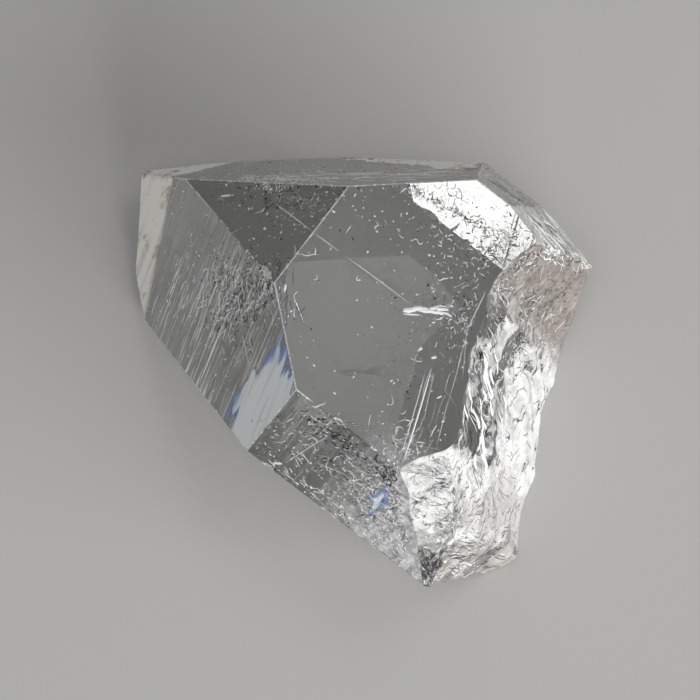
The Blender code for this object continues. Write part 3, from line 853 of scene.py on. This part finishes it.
def strands(paths, half_width, half_height, up):
    """Many closed slivers in one mesh, each a diamond section carried along its own path.

    Section corners: path + width * side, + height * up, - width * side, - height * up, where
    side = up x direction, and both shrink to a point at the path's two ends.
    """
    count, steps, _ = paths.shape
    ahead = unit(np.gradient(paths, axis=1), 1e-12)
    side = unit(np.cross(np.broadcast_to(up[:, None, :], paths.shape), ahead), 1e-12)
    over = np.cross(ahead, side)
    taper = np.sqrt(np.clip(1.0 - np.linspace(-1.0, 1.0, steps) ** 2, 0.0, 1.0))[None, 1:-1, None]
    middle, side, over = paths[:, 1:-1], side[:, 1:-1], over[:, 1:-1]
    wide = half_width[:, None, None] * taper * side
    high = half_height[:, None, None] * taper * over
    rings = np.stack([middle + wide, middle + high, middle - wide, middle - high], axis=2)
    points = np.concatenate([rings.reshape(count, -1, 3), paths[:, :1], paths[:, -1:]], axis=1)
    own = points.shape[1]
    ring, corner = np.meshgrid(np.arange(steps - 3), np.arange(4), indexing="ij")
    a, b = ring * 4 + corner, ring * 4 + (corner + 1) % 4
    sides = np.stack([a, b, b + 4, a + 4], axis=2).reshape(-1, 4)
    corner, tail = np.arange(4), (steps - 3) * 4
    first = np.stack([np.full(4, own - 2), (corner + 1) % 4, corner], axis=1)
    last = np.stack([np.full(4, own - 1), tail + corner, tail + (corner + 1) % 4], axis=1)
    start = (np.arange(count) * own)[:, None, None]
    faces = (sides[None] + start).reshape(-1, 4).tolist()
    faces += (first[None] + start).reshape(-1, 3).tolist() + (last[None] + start).reshape(-1, 3).tolist()
    return points.reshape(-1, 3), faces


def needle_strands():
    """Each needle: a straight path of equal steps with a slight bow."""
    share = np.linspace(0.0, 1.0, 9)[None, :, None]
    start, end, radius = (np.array(column) for column in zip(*NEEDLES))
    up = np.array([FACES[face_at(middle)][0] for middle in (start + end) / 2.0])
    paths = start[:, None] + (end - start)[:, None] * share
    side = np.cross(up, end - start)
    paths = paths + NEEDLE_BOW * side[:, None] * np.sin(math.pi * share)
    return strands(paths, radius, radius * NEEDLE_FLATNESS, up)


def chip_strands():
    """Each chip: a path through its middles, resampled evenly, as a flat sliver."""
    paths, ups = [], []
    for middles, _ in CHIPS:
        middles = np.array(middles)
        at, known = np.linspace(0.0, len(middles) - 1.0, CHIP_STEPS), np.arange(len(middles))
        paths.append(np.stack([np.interp(at, known, middles[:, k]) for k in range(3)], axis=1))
        ups.append(FACES[face_at(middles.mean(axis=0))][0])
    half_width = np.array([chip[1] for chip in CHIPS])
    wobble = np.random.default_rng(3).uniform(-CHIP_WOBBLE, CHIP_WOBBLE, (len(paths), CHIP_STEPS, 1))
    wobble = wobble * half_width[:, None, None]
    paths, ups = np.array(paths), np.array(ups)
    side = unit(np.cross(ups, paths[:, -1] - paths[:, 0]))
    return strands(paths + wobble * side[:, None], half_width, half_width * CHIP_FLATNESS, ups)


def lint_strands():
    """Each fibre: a heading that swings as a sum of two sines, added up into a path."""
    paths, ups = [], []
    draw = np.random.default_rng(17)
    share = np.linspace(0.0, 1.0, LINT_STEPS)
    lift = LINT_LIFT[0] + LINT_LIFT[1] * np.sin(math.pi * share)
    for middle, length, heading in LINT:
        name = face_at(middle)
        along, across = face_axes(name)
        swing = draw.uniform(0.7, 1.6) * np.sin(draw.uniform(2, 5) * share + draw.uniform(0, 6))
        swing = swing + 0.5 * np.sin(9.0 * share + draw.uniform(0, 6))
        turn = math.radians(heading) + swing
        run = np.cumsum(np.stack([np.cos(turn), np.sin(turn)], axis=1), axis=0) * length / LINT_STEPS
        run = run - run.mean(axis=0)
        normal = FACES[name][0]
        paths.append(np.array(middle) + run[:, :1] * along + run[:, 1:] * across + lift[:, None] * normal)
        ups.append(normal)
    radius = draw.uniform(*LINT_RADIUS, len(paths))
    return strands(np.array(paths), radius, radius, np.array(ups))


def random_lengths(draw, lengths, count, power):
    """Lengths in a range, short ones most often: low + (high - low) * random ^ power."""
    return lengths[0] + (lengths[1] - lengths[0]) * draw.uniform(size=count) ** power


def scatter(draw, middle, spread, count):
    """Random places round a middle, with a normal spread of their own along each axis."""
    return np.array(middle) + draw.normal(size=(count, len(middle))) * np.array(spread)


def kept_strands(draw, paths, sunk, half_width, shape, up):
    """Strands of random widths along those paths that stay in the crystal when sunk into it."""
    widths, flatness, top, margin = shape
    keep = inside_crystal((paths - sunk).reshape(-1, 3), margin).reshape(len(paths), -1).all(axis=1)
    width = half_width * draw.uniform(*widths, len(paths))
    up = np.broadcast_to(up, (len(paths), 3))
    return strands(paths[keep], width[keep], np.minimum(width * flatness, top)[keep], up[keep])


def feather_strands(seed, middle, spread, run, stray, lengths, half_width, count):
    """Slivers round a middle, whose runs share one heading and bend by a random bow."""
    draw = np.random.default_rng(seed)
    places = scatter(draw, middle, spread, count)
    heading = unit(np.array(run) / np.linalg.norm(run) + stray * draw.normal(size=(count, 3)) * 0.6)
    length = random_lengths(draw, lengths, count, 2.0)
    up = draw.normal(size=(count, 3)) * 0.5 + np.array([0.1, 0.0, 1.0])
    bow = np.cross(heading, draw.normal(size=(count, 3)))
    share = np.linspace(-0.5, 0.5, 8)[None, :, None]
    paths = places[:, None] + (heading * length[:, None])[:, None] * share
    paths = paths + (bow * (0.25 * length * draw.uniform(-1, 1, count))[:, None])[:, None] * (share * share)
    return kept_strands(draw, paths, 0.0, half_width, FEATHER_SHAPE, up)


def turning_runs(draw, heading, stray, lengths, count):
    """Curls in a plane: each a heading that turns steadily by a random bend, added up."""
    start = heading + stray * draw.normal(size=count)
    bend = draw.normal(size=count) * (0.25 + 1.6 * stray)
    turn = start[:, None] + bend[:, None] * np.linspace(-0.5, 0.5, 9)[None, :]
    step = random_lengths(draw, lengths, count, 2.2)[:, None] / 9.0
    return np.cumsum(np.cos(turn), axis=1) * step, np.cumsum(np.sin(turn), axis=1) * step


def break_strands(seed, middle, spread, heading, stray, lengths, half_width, count):
    """Curls on the break: turning runs in (Y, Z), lifted onto the relief."""
    draw = np.random.default_rng(seed)
    places = scatter(draw, middle, spread, count)
    run_y, run_z = turning_runs(draw, math.radians(heading), stray, lengths, count)
    y, z = places[:, :1] + run_y, places[:, 1:] + run_z
    reach = break_surface(y.ravel(), z.ravel())[0].reshape(y.shape)
    paths = np.stack([reach + CURL_LIFT, y, z], axis=2)
    return kept_strands(draw, paths, [CURL_SINK, 0.0, 0.0], half_width, CURL_SHAPE, BREAK_UP)


def wisp_strands(seed, name, middle, spread, run, stray, lengths, half_width, count):
    """Curls half sunk in a face: turning runs along and across its growth lines."""
    draw = np.random.default_rng(seed)
    along, across = face_axes(name)
    normal, reach = FACES[name]
    places = scatter(draw, middle, spread, count)
    places = places - ((places @ normal) - reach)[:, None] * normal
    heading = math.atan2(np.array(run) @ across, np.array(run) @ along)
    run_u, run_v = turning_runs(draw, heading, stray, lengths, count)
    paths = places[:, None] + run_u[..., None] * along + run_v[..., None] * across
    return kept_strands(draw, paths, WISP_SINK * normal, half_width, WISP_SHAPE, normal)


def grains(draw, places, normals, heading, size_range, stretch_range):
    """Six-pointed grains, flat on their face: a random size, and a stretch along a heading."""
    count = len(places)
    size = random_lengths(draw, size_range, count, 2.5)[:, None]
    first = unit(heading - normals * np.sum(heading * normals, axis=1, keepdims=True))
    second = np.cross(normals, first)
    stretch = draw.uniform(*stretch_range, count)[:, None]
    axes = np.stack([first * (size * stretch), second * size, normals * (size * GRAIN_FLATNESS)], axis=1)
    points = places[:, None] + np.concatenate([axes, -axes], axis=1)
    one = np.array([[0, 1, 2], [1, 3, 2], [3, 4, 2], [4, 0, 2], [1, 0, 5], [3, 1, 5], [4, 3, 5], [0, 4, 5]])
    faces = (one[None] + (np.arange(count) * 6)[:, None, None]).reshape(-1, 3).tolist()
    return points.reshape(-1, 3), faces


def face_flecks(seed, share):
    """Pits and grains at random places on the faces.

    More of them lie towards the break and the upper edge: two logistic steps say how many.
    """
    draw = np.random.default_rng(seed)
    places, normals = [], []
    for name, full_count in FLECKS.items():
        count = int(full_count * share)
        along, across = face_axes(name)
        normal, reach = FACES[name]
        spots = draw.uniform(-FLECK_REACH, FLECK_REACH, (count * FLECK_TRIES, 2))
        spots = normal * reach + spots[:, :1] * along + spots[:, 1:] * across
        side, steep = FLECK_SIDE_STEP
        wanted = 0.25 + 0.75 / (1.0 + np.exp(-(spots[:, 1] - side) * steep))
        ahead, steep = FLECK_BREAK_STEP
        wanted = wanted + 0.5 / (1.0 + np.exp(-(spots[:, 0] - ahead) * steep))
        under, margin = FLECK_INSIDE
        chosen = draw.uniform(size=len(spots)) < wanted / 1.5
        chosen = chosen & inside_crystal(spots - normal * under, margin)
        places.append(spots[chosen][:count])
        normals.append(np.repeat(normal[None], len(places[-1]), axis=0))
    places, normals = np.vstack(places), np.vstack(normals)
    return grains(draw, places, normals, draw.normal(size=places.shape), FLECK_SIZE, FLECK_STRETCH)


def edge_flakes(seed):
    """Grains along every edge of the faceted end and down the prism, drawn out with the edge."""
    draw = np.random.default_rng(seed)
    places, normals, headings = [], [], []
    for one, other in itertools.combinations(FACES, 2):
        ends, outward = shared_edge(one, other)
        if len(ends) == 1:
            ends.append(ends[0] + PAST_THE_BREAK)
        if len(ends) < 2:
            continue
        run = ends[1] - ends[0]
        count = int(EDGE_FLAKES_PER_MM * np.linalg.norm(run))
        spots = ends[0] + draw.uniform(size=(count, 1)) * run - EDGE_FLAKE_SINK * outward
        under, margin = EDGE_FLAKE_INSIDE
        spots = spots[inside_crystal(spots - under * outward, margin)]
        places.append(spots)
        normals.append(np.repeat(outward[None], len(spots), axis=0))
        headings.append(np.repeat(run[None], len(spots), axis=0))
    places, normals, headings = np.vstack(places), np.vstack(normals), np.vstack(headings)
    headings = unit(headings) + 0.4 * draw.normal(size=places.shape)
    return grains(draw, places, normals, headings, EDGE_FLAKE_SIZE, EDGE_FLAKE_STRETCH)


def thin_sheet(name, outline, ragged, colour_width):
    """A sheet on a face: a grid, with how much it covers and how it is tinted at each point.

    Cover is the depth inside the outline, frayed by noise drawn out along the growth lines.
    The tint, which picks the painted sheen colours, runs from 0 on the frayed edge, where a crack
    is thinnest, to 1 well inside.
    """
    along, across = face_axes(name)
    normal, reach = FACES[name]
    outline = [(float(np.array(p) @ along), float(np.array(p) @ across)) for p in outline]
    low, high = np.min(outline, axis=0) - SHEET_MARGIN, np.max(outline, axis=0) + SHEET_MARGIN
    u, v = np.meshgrid(*(np.arange(low[k], high[k], SHEET_STEP) for k in (0, 1)), indexing="ij")
    number = np.arange(u.size).reshape(u.shape)
    u, v = u.ravel(), v.ravel()

    def drawn_out(wide, long, seed):
        return lattice_noise(v / wide + 20.0, u / long + 20.0, seed)

    fray = drawn_out(*SHEET_FRAY) + 0.5 * drawn_out(*SHEET_FINE_FRAY)
    depth = depth_inside(u + ragged * fray, v, outline)
    places = normal * (reach + SHEET_LIFT) + u[:, None] * along + v[:, None] * across
    under, margin = SHEET_INSIDE
    inner = inside_crystal(places - normal * under, margin)
    lines = 0.5 + 0.35 * drawn_out(*SHEET_LINES) + 0.25 * drawn_out(*SHEET_BANDS)
    lines = np.clip(lines, 0.0, 1.0)
    cover = 0.55 + 0.45 * np.clip(depth / SHEET_THICKENS, 0.0, 1.0)
    cover = np.clip(depth / SHEET_SETS_IN + 0.2, 0.0, 1.0) * cover
    cover = np.clip(1.15 * cover * (0.60 + 0.60 * lines), 0.0, 1.0) * inner
    spread = colour_width * (1.0 + 0.85 * drawn_out(*SHEET_COLOURS))
    tint = np.clip(depth / np.maximum(spread, LEAST_COLOUR_WIDTH), 0.0, 1.0) * (0.84 + 0.16 * lines)
    quads = np.stack([number[:-1, :-1], number[1:, :-1], number[1:, 1:], number[:-1, 1:]], axis=2)
    quads = quads.reshape(-1, 4)
    quads = quads[(cover[quads] > LEAST_COVER).any(axis=1) & inner[quads].all(axis=1)]
    kept, quads = np.unique(quads, return_inverse=True)
    return places[kept], quads.reshape(-1, 4).tolist(), cover[kept], tint[kept]


# ---------------------------------------------------------------- materials

def linear(colour):
    """sRGB hex, such as #C8B9A0, to the linear colour that a shader takes."""
    channels = [int(colour[i:i + 2], 16) / 255.0 for i in (1, 3, 5)]
    return [c / 12.92 if c <= 0.04045 else ((c + 0.055) / 1.055) ** 2.4 for c in channels] + [1.0]


def join(node, *sources, **named_sources):
    """Links a node's inputs, in order or by name, to nodes or to (node, output name)."""
    for key, source in [*enumerate(sources), *named_sources.items()]:
        if source is not None:
            source, output = source if isinstance(source, tuple) else (source, 0)
            socket = key if isinstance(key, int) else key.replace("_", " ")
            node.id_data.links.new(source.outputs[output], node.inputs[socket])


def add(tree, kind, settings, *sources, **named_sources):
    """Adds a node: its settings by name or socket, and its inputs joined to other nodes."""
    node = tree.nodes.new("ShaderNode" + kind)
    for key, value in settings.items():
        if isinstance(key, int) or key in node.inputs:
            node.inputs[key].default_value = value
        else:
            setattr(node, key, value)
    join(node, *sources, **named_sources)
    return node


# Settings that come up often. A noise on object coordinates with a scale of n / MM has n patches
# to the millimetre.
TIMES = {"operation": "MULTIPLY"}
PLUS = {"operation": "ADD"}
LESS = {"operation": "SUBTRACT", "use_clamp": True}
COLOURS = {"data_type": "RGBA"}


def new_material(name, **constants):
    """A material, with constants on its shader's own sockets."""
    material = bpy.data.materials.new(name)
    material.use_nodes = True
    shader = material.node_tree.nodes["Principled BSDF"]
    for socket, value in constants.items():
        shader.inputs[socket.replace("_", " ")].default_value = value
    return material, material.node_tree, shader


def add_smoke(tree):
    """The faint smoke in the stone: a grey that takes a little of the light on a long path."""
    smoke = add(tree, "VolumeAbsorption", {"Color": linear("#F2F2F1"), "Density": SMOKE_DENSITY})
    join(tree.nodes["Material Output"], Volume=smoke)


def quartz_faces():
    """Growth faces of rock crystal: glass-bright and water-clear, with hair-fine growth lines.

    Each line is a step of a few micrometres. They are drawn a third of a millimetre apart, with
    finer ones between, so that they show. Where a face is closely lined they whiten it, partly
    as real frosting and partly as painted light that brightens the face.
    """
    material, tree, shader = new_material(
        "rock_crystal_growth_faces", Base_Color=linear("#F4F5F5"), IOR=QUARTZ_IOR)
    uv = add(tree, "UVMap", {"uv_map": "growth_lines"})
    per_line = (0.12 / UV_PER_MM, 3.0 / UV_PER_MM, 1.0)
    stretched = add(tree, "Mapping", {"Scale": per_line}, uv)
    lines = add(tree, "TexNoise", {"Scale": 1.0, "Detail": 5.0, "Roughness": 0.6}, stretched)
    clouds = add(tree, "TexNoise", {"Scale": 0.12 / UV_PER_MM, "Detail": 3.0}, uv)
    haze = (add(tree, "Attribute", {"attribute_name": "haze"}), "Fac")
    steep = {"From Min": 0.48, "From Max": 0.72, "To Min": 0.35, "To Max": 2.6}
    sharp = add(tree, "MapRange", steep, lines)
    gentle = {"From Min": 0.3, "From Max": 0.7, "To Min": 0.15, "To Max": 1.5}
    patchy = add(tree, "MapRange", gentle, clouds)
    both = add(tree, "Math", TIMES, sharp, patchy)
    place = (add(tree, "TexCoord", {}), "Object")
    spot = add(tree, "SeparateXYZ", {}, place)

    def ends_along(axis, ends):
        """A range between two places, given in mm along an axis of the crystal's own frame."""
        low, high = ((end + PLACE["XYZ".index(axis)]) * MM for end in ends)
        return {"From Min": low, "From Max": high}

    begun = add(tree, "MapRange", {**ends_along("X", LINES_BEGIN), "To Min": 0.15}, (spot, "X"))
    lined = add(tree, "Mix", {"data_type": "FLOAT", "A": 0.75}, begun, B=both)
    whitened = add(tree, "Math", TIMES, lined, haze)
    zones = []
    for reaches, sides in (BRUISE_FRONT, BRUISE_BACK):
        to_break = add(tree, "MapRange", ends_along("X", reaches), (spot, "X"))
        to_side = add(tree, "MapRange", ends_along("Y", sides), (spot, "Y"))
        zones.append(add(tree, "Math", TIMES, to_break, to_side))
    corner = add(tree, "Math", PLUS, zones[0], zones[1])
    torn_cloud = {"Scale": 0.9 / MM, "Detail": 8.0, "Roughness": 0.75, "Distortion": 0.6}
    cloud = add(tree, "TexNoise", torn_cloud, place)
    uneven = {"From Min": 0.40, "From Max": 0.62, "To Min": 0.22, "To Max": 0.72}
    torn = add(tree, "MapRange", uneven, cloud)
    bruise = add(tree, "Math", TIMES, corner, torn)
    dimmed = add(tree, "Math", PLUS, bruise, whitened)
    clear = add(tree, "Math", {**LESS, 0: 1.0}, None, dimmed)
    dull = add(tree, "Math", {**TIMES, 1: 0.06}, haze)
    steps = add(tree, "Math", TIMES, lines, haze)
    bump = add(tree, "Bump", {"Strength": 0.25, "Distance": 0.03 * MM}, Height=steps)
    join(shader, Transmission_Weight=clear, Roughness=dull, Normal=bump)
    add_smoke(tree)
    return material


def quartz_break():
    """Conchoidal break: clear where a flake left glass, white where the stone is bruised.

    Bruised quartz is full of cracks finer than 0.05 mm, which scatter light and look white.
    Wider cracks, about 1.4 mm by 5 mm apart, cross it as thin grey lines. The shelf is evenly
    frosted with pits 0.4 mm by 1 mm apart, and a little iron turns it pinkish grey.
    """
    material, tree, shader = new_material("rock_crystal_conchoidal_break", IOR=QUARTZ_IOR)
    place = (add(tree, "TexCoord", {}), "Object")
    frost = (add(tree, "Attribute", {"attribute_name": "frost"}), "Fac")
    stain = (add(tree, "Attribute", {"attribute_name": "stain"}), "Fac")
    wander = add(tree, "TexNoise", {"Scale": 0.7 / MM, "Detail": 3.0}, place)
    pushed = add(tree, "VectorMath", {"operation": "MULTIPLY_ADD", 1: (1.2 * MM,) * 3},
                 (wander, "Color"), None, place)
    stretched = add(tree, "Mapping", {"Scale": (1.1 / MM, 0.42 / MM, 1.1 / MM)}, pushed)
    streaks = add(tree, "TexNoise", {"Scale": 1.0, "Detail": 6.0, "Roughness": 0.72}, stretched)
    flake_grid = add(tree, "Mapping", {"Scale": (0.7 / MM, 0.19 / MM, 0.7 / MM)}, pushed)
    borders = add(tree, "TexVoronoi", {"feature": "DISTANCE_TO_EDGE", "Scale": 1.0}, flake_grid)
    thin = {"From Min": 0.008, "From Max": 0.045, "To Min": 1.0, "To Max": 0.0}
    line = add(tree, "MapRange", thin, borders)
    here = add(tree, "MapRange", {"From Min": 0.49, "From Max": 0.64}, wander)
    crack = add(tree, "Math", TIMES, line, here)
    off_shelf = add(tree, "Math", LESS, crack, stain)
    streaked = {"From Min": 0.36, "From Max": 0.62, "To Min": 0.78, "To Max": 1.15}
    spread = add(tree, "MapRange", streaked, streaks)
    frosted = add(tree, "Math", {**TIMES, "use_clamp": True}, frost, spread)
    uncracked = add(tree, "Math", LESS, frosted, off_shelf)
    clear = add(tree, "MapRange", {"To Min": 1.0, "To Max": 0.24}, uncracked)
    rough = add(tree, "MapRange", {"To Min": 0.02, "To Max": 0.30}, uncracked)
    sloped = add(tree, "Mapping", {"Scale": (0.42, 1.0, 0.42)}, pushed)
    pits = add(tree, "TexVoronoi", {"feature": "F1", "Scale": 2.3 / MM}, sloped)
    round_pit = {"From Min": 0.16, "From Max": 0.30, "To Min": 1.0, "To Max": 0.0}
    pit = add(tree, "MapRange", round_pit, pits)
    clouds = add(tree, "TexNoise", {"Scale": 0.52 / MM, "Detail": 7.0, "Roughness": 0.70}, place)
    stained = add(tree, "MapRange", {"From Min": 0.36, "From Max": 0.64}, clouds)
    iron = {**COLOURS, "A": linear("#C5BDB6"), "B": linear("#9F948C")}
    pink = add(tree, "Mix", iron, stained)
    pitted_here = add(tree, "Math", TIMES, pit, stained)
    pitted = add(tree, "Mix", {**COLOURS, "B": linear("#857A76")}, pitted_here, A=(pink, "Result"))
    cracked_white = {**COLOURS, "A": linear("#FDFDFC"), "B": linear("#A9A9AB")}
    white = add(tree, "Mix", cracked_white, off_shelf)
    colour = add(tree, "Mix", COLOURS, stain, A=(white, "Result"), B=(pitted, "Result"))
    grain = add(tree, "TexNoise", {"Scale": 2.6 / MM, "Detail": 4.0, "Roughness": 0.6}, place)
    bump = add(tree, "Bump", {"Strength": 0.6, "Distance": 0.06 * MM}, Height=grain)
    bump_long = add(tree, "Bump", {"Strength": 0.7, "Distance": 0.14 * MM}, Height=streaks, Normal=bump)
    join(shader, Base_Color=(colour, "Result"), Transmission_Weight=clear, Roughness=rough,
         Normal=bump_long)
    add_smoke(tree)
    return material


def bruised_quartz():
    """Crushed quartz in chips, pits and along needles: matt white powder and shards."""
    material, tree, shader = new_material("crushed_white_quartz", Roughness=0.45)
    place = (add(tree, "TexCoord", {}), "Object")
    crumbs = add(tree, "TexNoise", {"Scale": 2.5 / MM, "Detail": 3.0}, place)
    powder = {**COLOURS, "A": linear("#E2E3E2"), "B": linear("#FFFFFF")}
    shades = add(tree, "Mix", powder, crumbs)
    join(shader, Base_Color=(shades, "Result"))
    return material


def painted_sheen_film():
    """Painted sheen: a thin crack's bright patch, with interference colours at its edge: bluish white,
    violet, blue.
    """
    material, tree, shader = new_material("thin_crack_painted_sheen", Roughness=0.35)
    cover = add(tree, "Attribute", {"attribute_name": "cover"})
    tint = add(tree, "Attribute", {"attribute_name": "tint"})
    colours = add(tree, "ValToRGB", {}, (tint, "Fac"))
    stops = colours.color_ramp.elements
    stops[0].color, stops[1].color = linear("#A8A4B8"), linear("#F1F4F6")
    for position, colour in ((0.20, "#9F96C8"), (0.42, "#7A8FCC"), (0.62, "#A3C6DB"), (0.80, "#E8EEF1")):
        stops.new(position).color = linear(colour)
    join(shader, Base_Color=colours, Alpha=(cover, "Fac"))
    return material


def painted_light_veil():
    """Painted light: a pale cream sheet with brownish streaks near the tip and at the back."""
    material, tree, shader = new_material("painted_light_veil_streaked", Roughness=0.5)
    cover = add(tree, "Attribute", {"attribute_name": "cover"})
    place = (add(tree, "TexCoord", {}), "Object")
    drawn = add(tree, "Mapping", {"Scale": (0.5 / MM, 0.26 / MM, 0.26 / MM)}, place)
    cloud = add(tree, "TexNoise", {"Scale": 1.0, "Detail": 5.0, "Roughness": 0.65}, drawn)
    streak = add(tree, "MapRange", {"From Min": 0.54, "From Max": 0.66}, cloud)
    milk = {**COLOURS, "A": linear("#FFFCF5"), "B": linear("#AD9B8E")}
    cream = add(tree, "Mix", milk, streak)
    join(shader, Base_Color=(cream, "Result"), Alpha=(cover, "Fac"))
    return material


# ---------------------------------------------------------------- stage

def add_floor():
    """A pale matt table under the crystal."""
    corners = [(x * FLOOR_HALF_SIZE, y * FLOOR_HALF_SIZE, FLOOR_LEVEL)
               for x, y in ((-1, -1), (1, -1), (1, 1), (-1, 1))]
    mesh = bpy.data.meshes.new("floor")
    mesh.from_pydata(corners, [], [(0, 1, 2, 3)])
    mesh.materials.append(new_material(
        "pale_table", Base_Color=linear("#B8B7B4"), Roughness=0.9, Specular_IOR_Level=0.1)[0])
    place_object("floor", mesh)


def add_camera():
    data = bpy.data.cameras.new("camera")
    data.sensor_width = CAMERA_SENSOR
    data.lens = CAMERA_LENS
    data.clip_start = 0.01
    camera = place_object("camera", data)
    turn = Matrix((CAMERA_RIGHT, -CAMERA_DOWN, -CAMERA_FORWARD)).transposed().to_4x4()
    camera.matrix_world = Matrix.Translation((CAMERA_PLACE + Vector(PLACE)) * MM) @ turn
    bpy.context.scene.camera = camera


def add_softbox(name, azimuth, elevation, distance, width, height, radiance):
    """A rectangular light that faces the crystal, as bright all over as the radiance says."""
    data = bpy.data.lights.new(name, "AREA")
    data.shape = "RECTANGLE"
    data.size = width
    data.size_y = height
    data.energy = radiance * math.pi * width * height
    turn, rise = math.radians(azimuth), math.radians(elevation)
    away = Vector((math.cos(turn) * math.cos(rise), math.sin(turn) * math.cos(rise), math.sin(rise)))
    light = place_object(name, data)
    light.location = away * distance + LIGHT_TARGET
    light.rotation_euler = away.to_track_quat("Z", "Y").to_euler()


def add_world(level):
    world = bpy.data.worlds.new("dim_studio")
    world.use_nodes = True
    background = world.node_tree.nodes["Background"]
    background.inputs["Color"].default_value = linear("#FFFFFF")
    background.inputs["Strength"].default_value = level
    bpy.context.scene.world = world


# ---------------------------------------------------------------- the whole object

quartz = (quartz_faces(), quartz_break())
crystal = crystal_mesh(*quartz)
soften_edges(crystal)
cut_nicks(crystal, quartz)
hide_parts("quartz_point")

crushed = bruised_quartz()
# Air in a crack: light inside the stone bounces off it whole, so it shines like silver.
mirror = new_material("air_filled_crack", Base_Color=linear("#F1F3F5"), Metallic=1.0, Roughness=0.22)[0]
# Painted shade: a dark grey sliver, partly see-through, put where a crack looks dark because it turns the
# light away from the eye.
painted_shade_grey = new_material("painted_shade_crack", Base_Color=linear("#3A3A3B"), Roughness=0.25, Alpha=0.78)[0]
# Off-white cotton fibres, matt.
cotton = new_material("cotton_lint", Base_Color=linear("#F3F1EC"), Roughness=0.85)[0]

make_piece("needles", *needle_strands(), crushed)
make_piece("chips", *chip_strands(), crushed)
make_piece("flecks", *face_flecks(5, 1.0), crushed)
# The dark flecks take the same painted-shade grey.
make_piece("dark_flecks", *face_flecks(6, DARK_FLECK_SHARE), painted_shade_grey)
make_piece("edge_flakes", *edge_flakes(8), crushed)
make_piece("lint", *lint_strands(), cotton, smooth=True)
for name, table, seed, build, material in (
    ("feathery_cracks", FEATHERS, 70, feather_strands, mirror),
    ("wisps", WISPS, 120, wisp_strands, crushed),
    ("painted_shade_wisps", PAINTED_SHADE_WISPS, 160, wisp_strands, painted_shade_grey),
    ("break_curls", BREAK_CURLS, 200, break_strands, crushed),
    ("painted_shadow_break_curls", PAINTED_SHADOW_CURLS, 240, break_strands, painted_shade_grey),
):
    clusters = [build(seed + k, *row) for k, row in enumerate(table.values())]
    make_piece(name, *join_meshes(clusters), material, smooth=material is mirror)
for sheets, material in ((PAINTED_SHEENS, painted_sheen_film()), (PAINTED_LIGHT_VEILS, painted_light_veil())):
    for name, values in sheets.items():
        points, faces, cover, tint = thin_sheet(*values)
        sheet = make_piece(name, points, faces, material)
        add_attribute(sheet, "cover", cover)
        add_attribute(sheet, "tint", tint)

add_floor()
add_camera()
add_world(WORLD_LEVEL)
for name, values in SOFTBOXES.items():
    add_softbox(name, *values)
scene = bpy.context.scene
scene.view_settings.view_transform = "Standard"
scene.cycles.max_bounces = 16
scene.cycles.transmission_bounces = 16
scene.cycles.glossy_bounces = 12
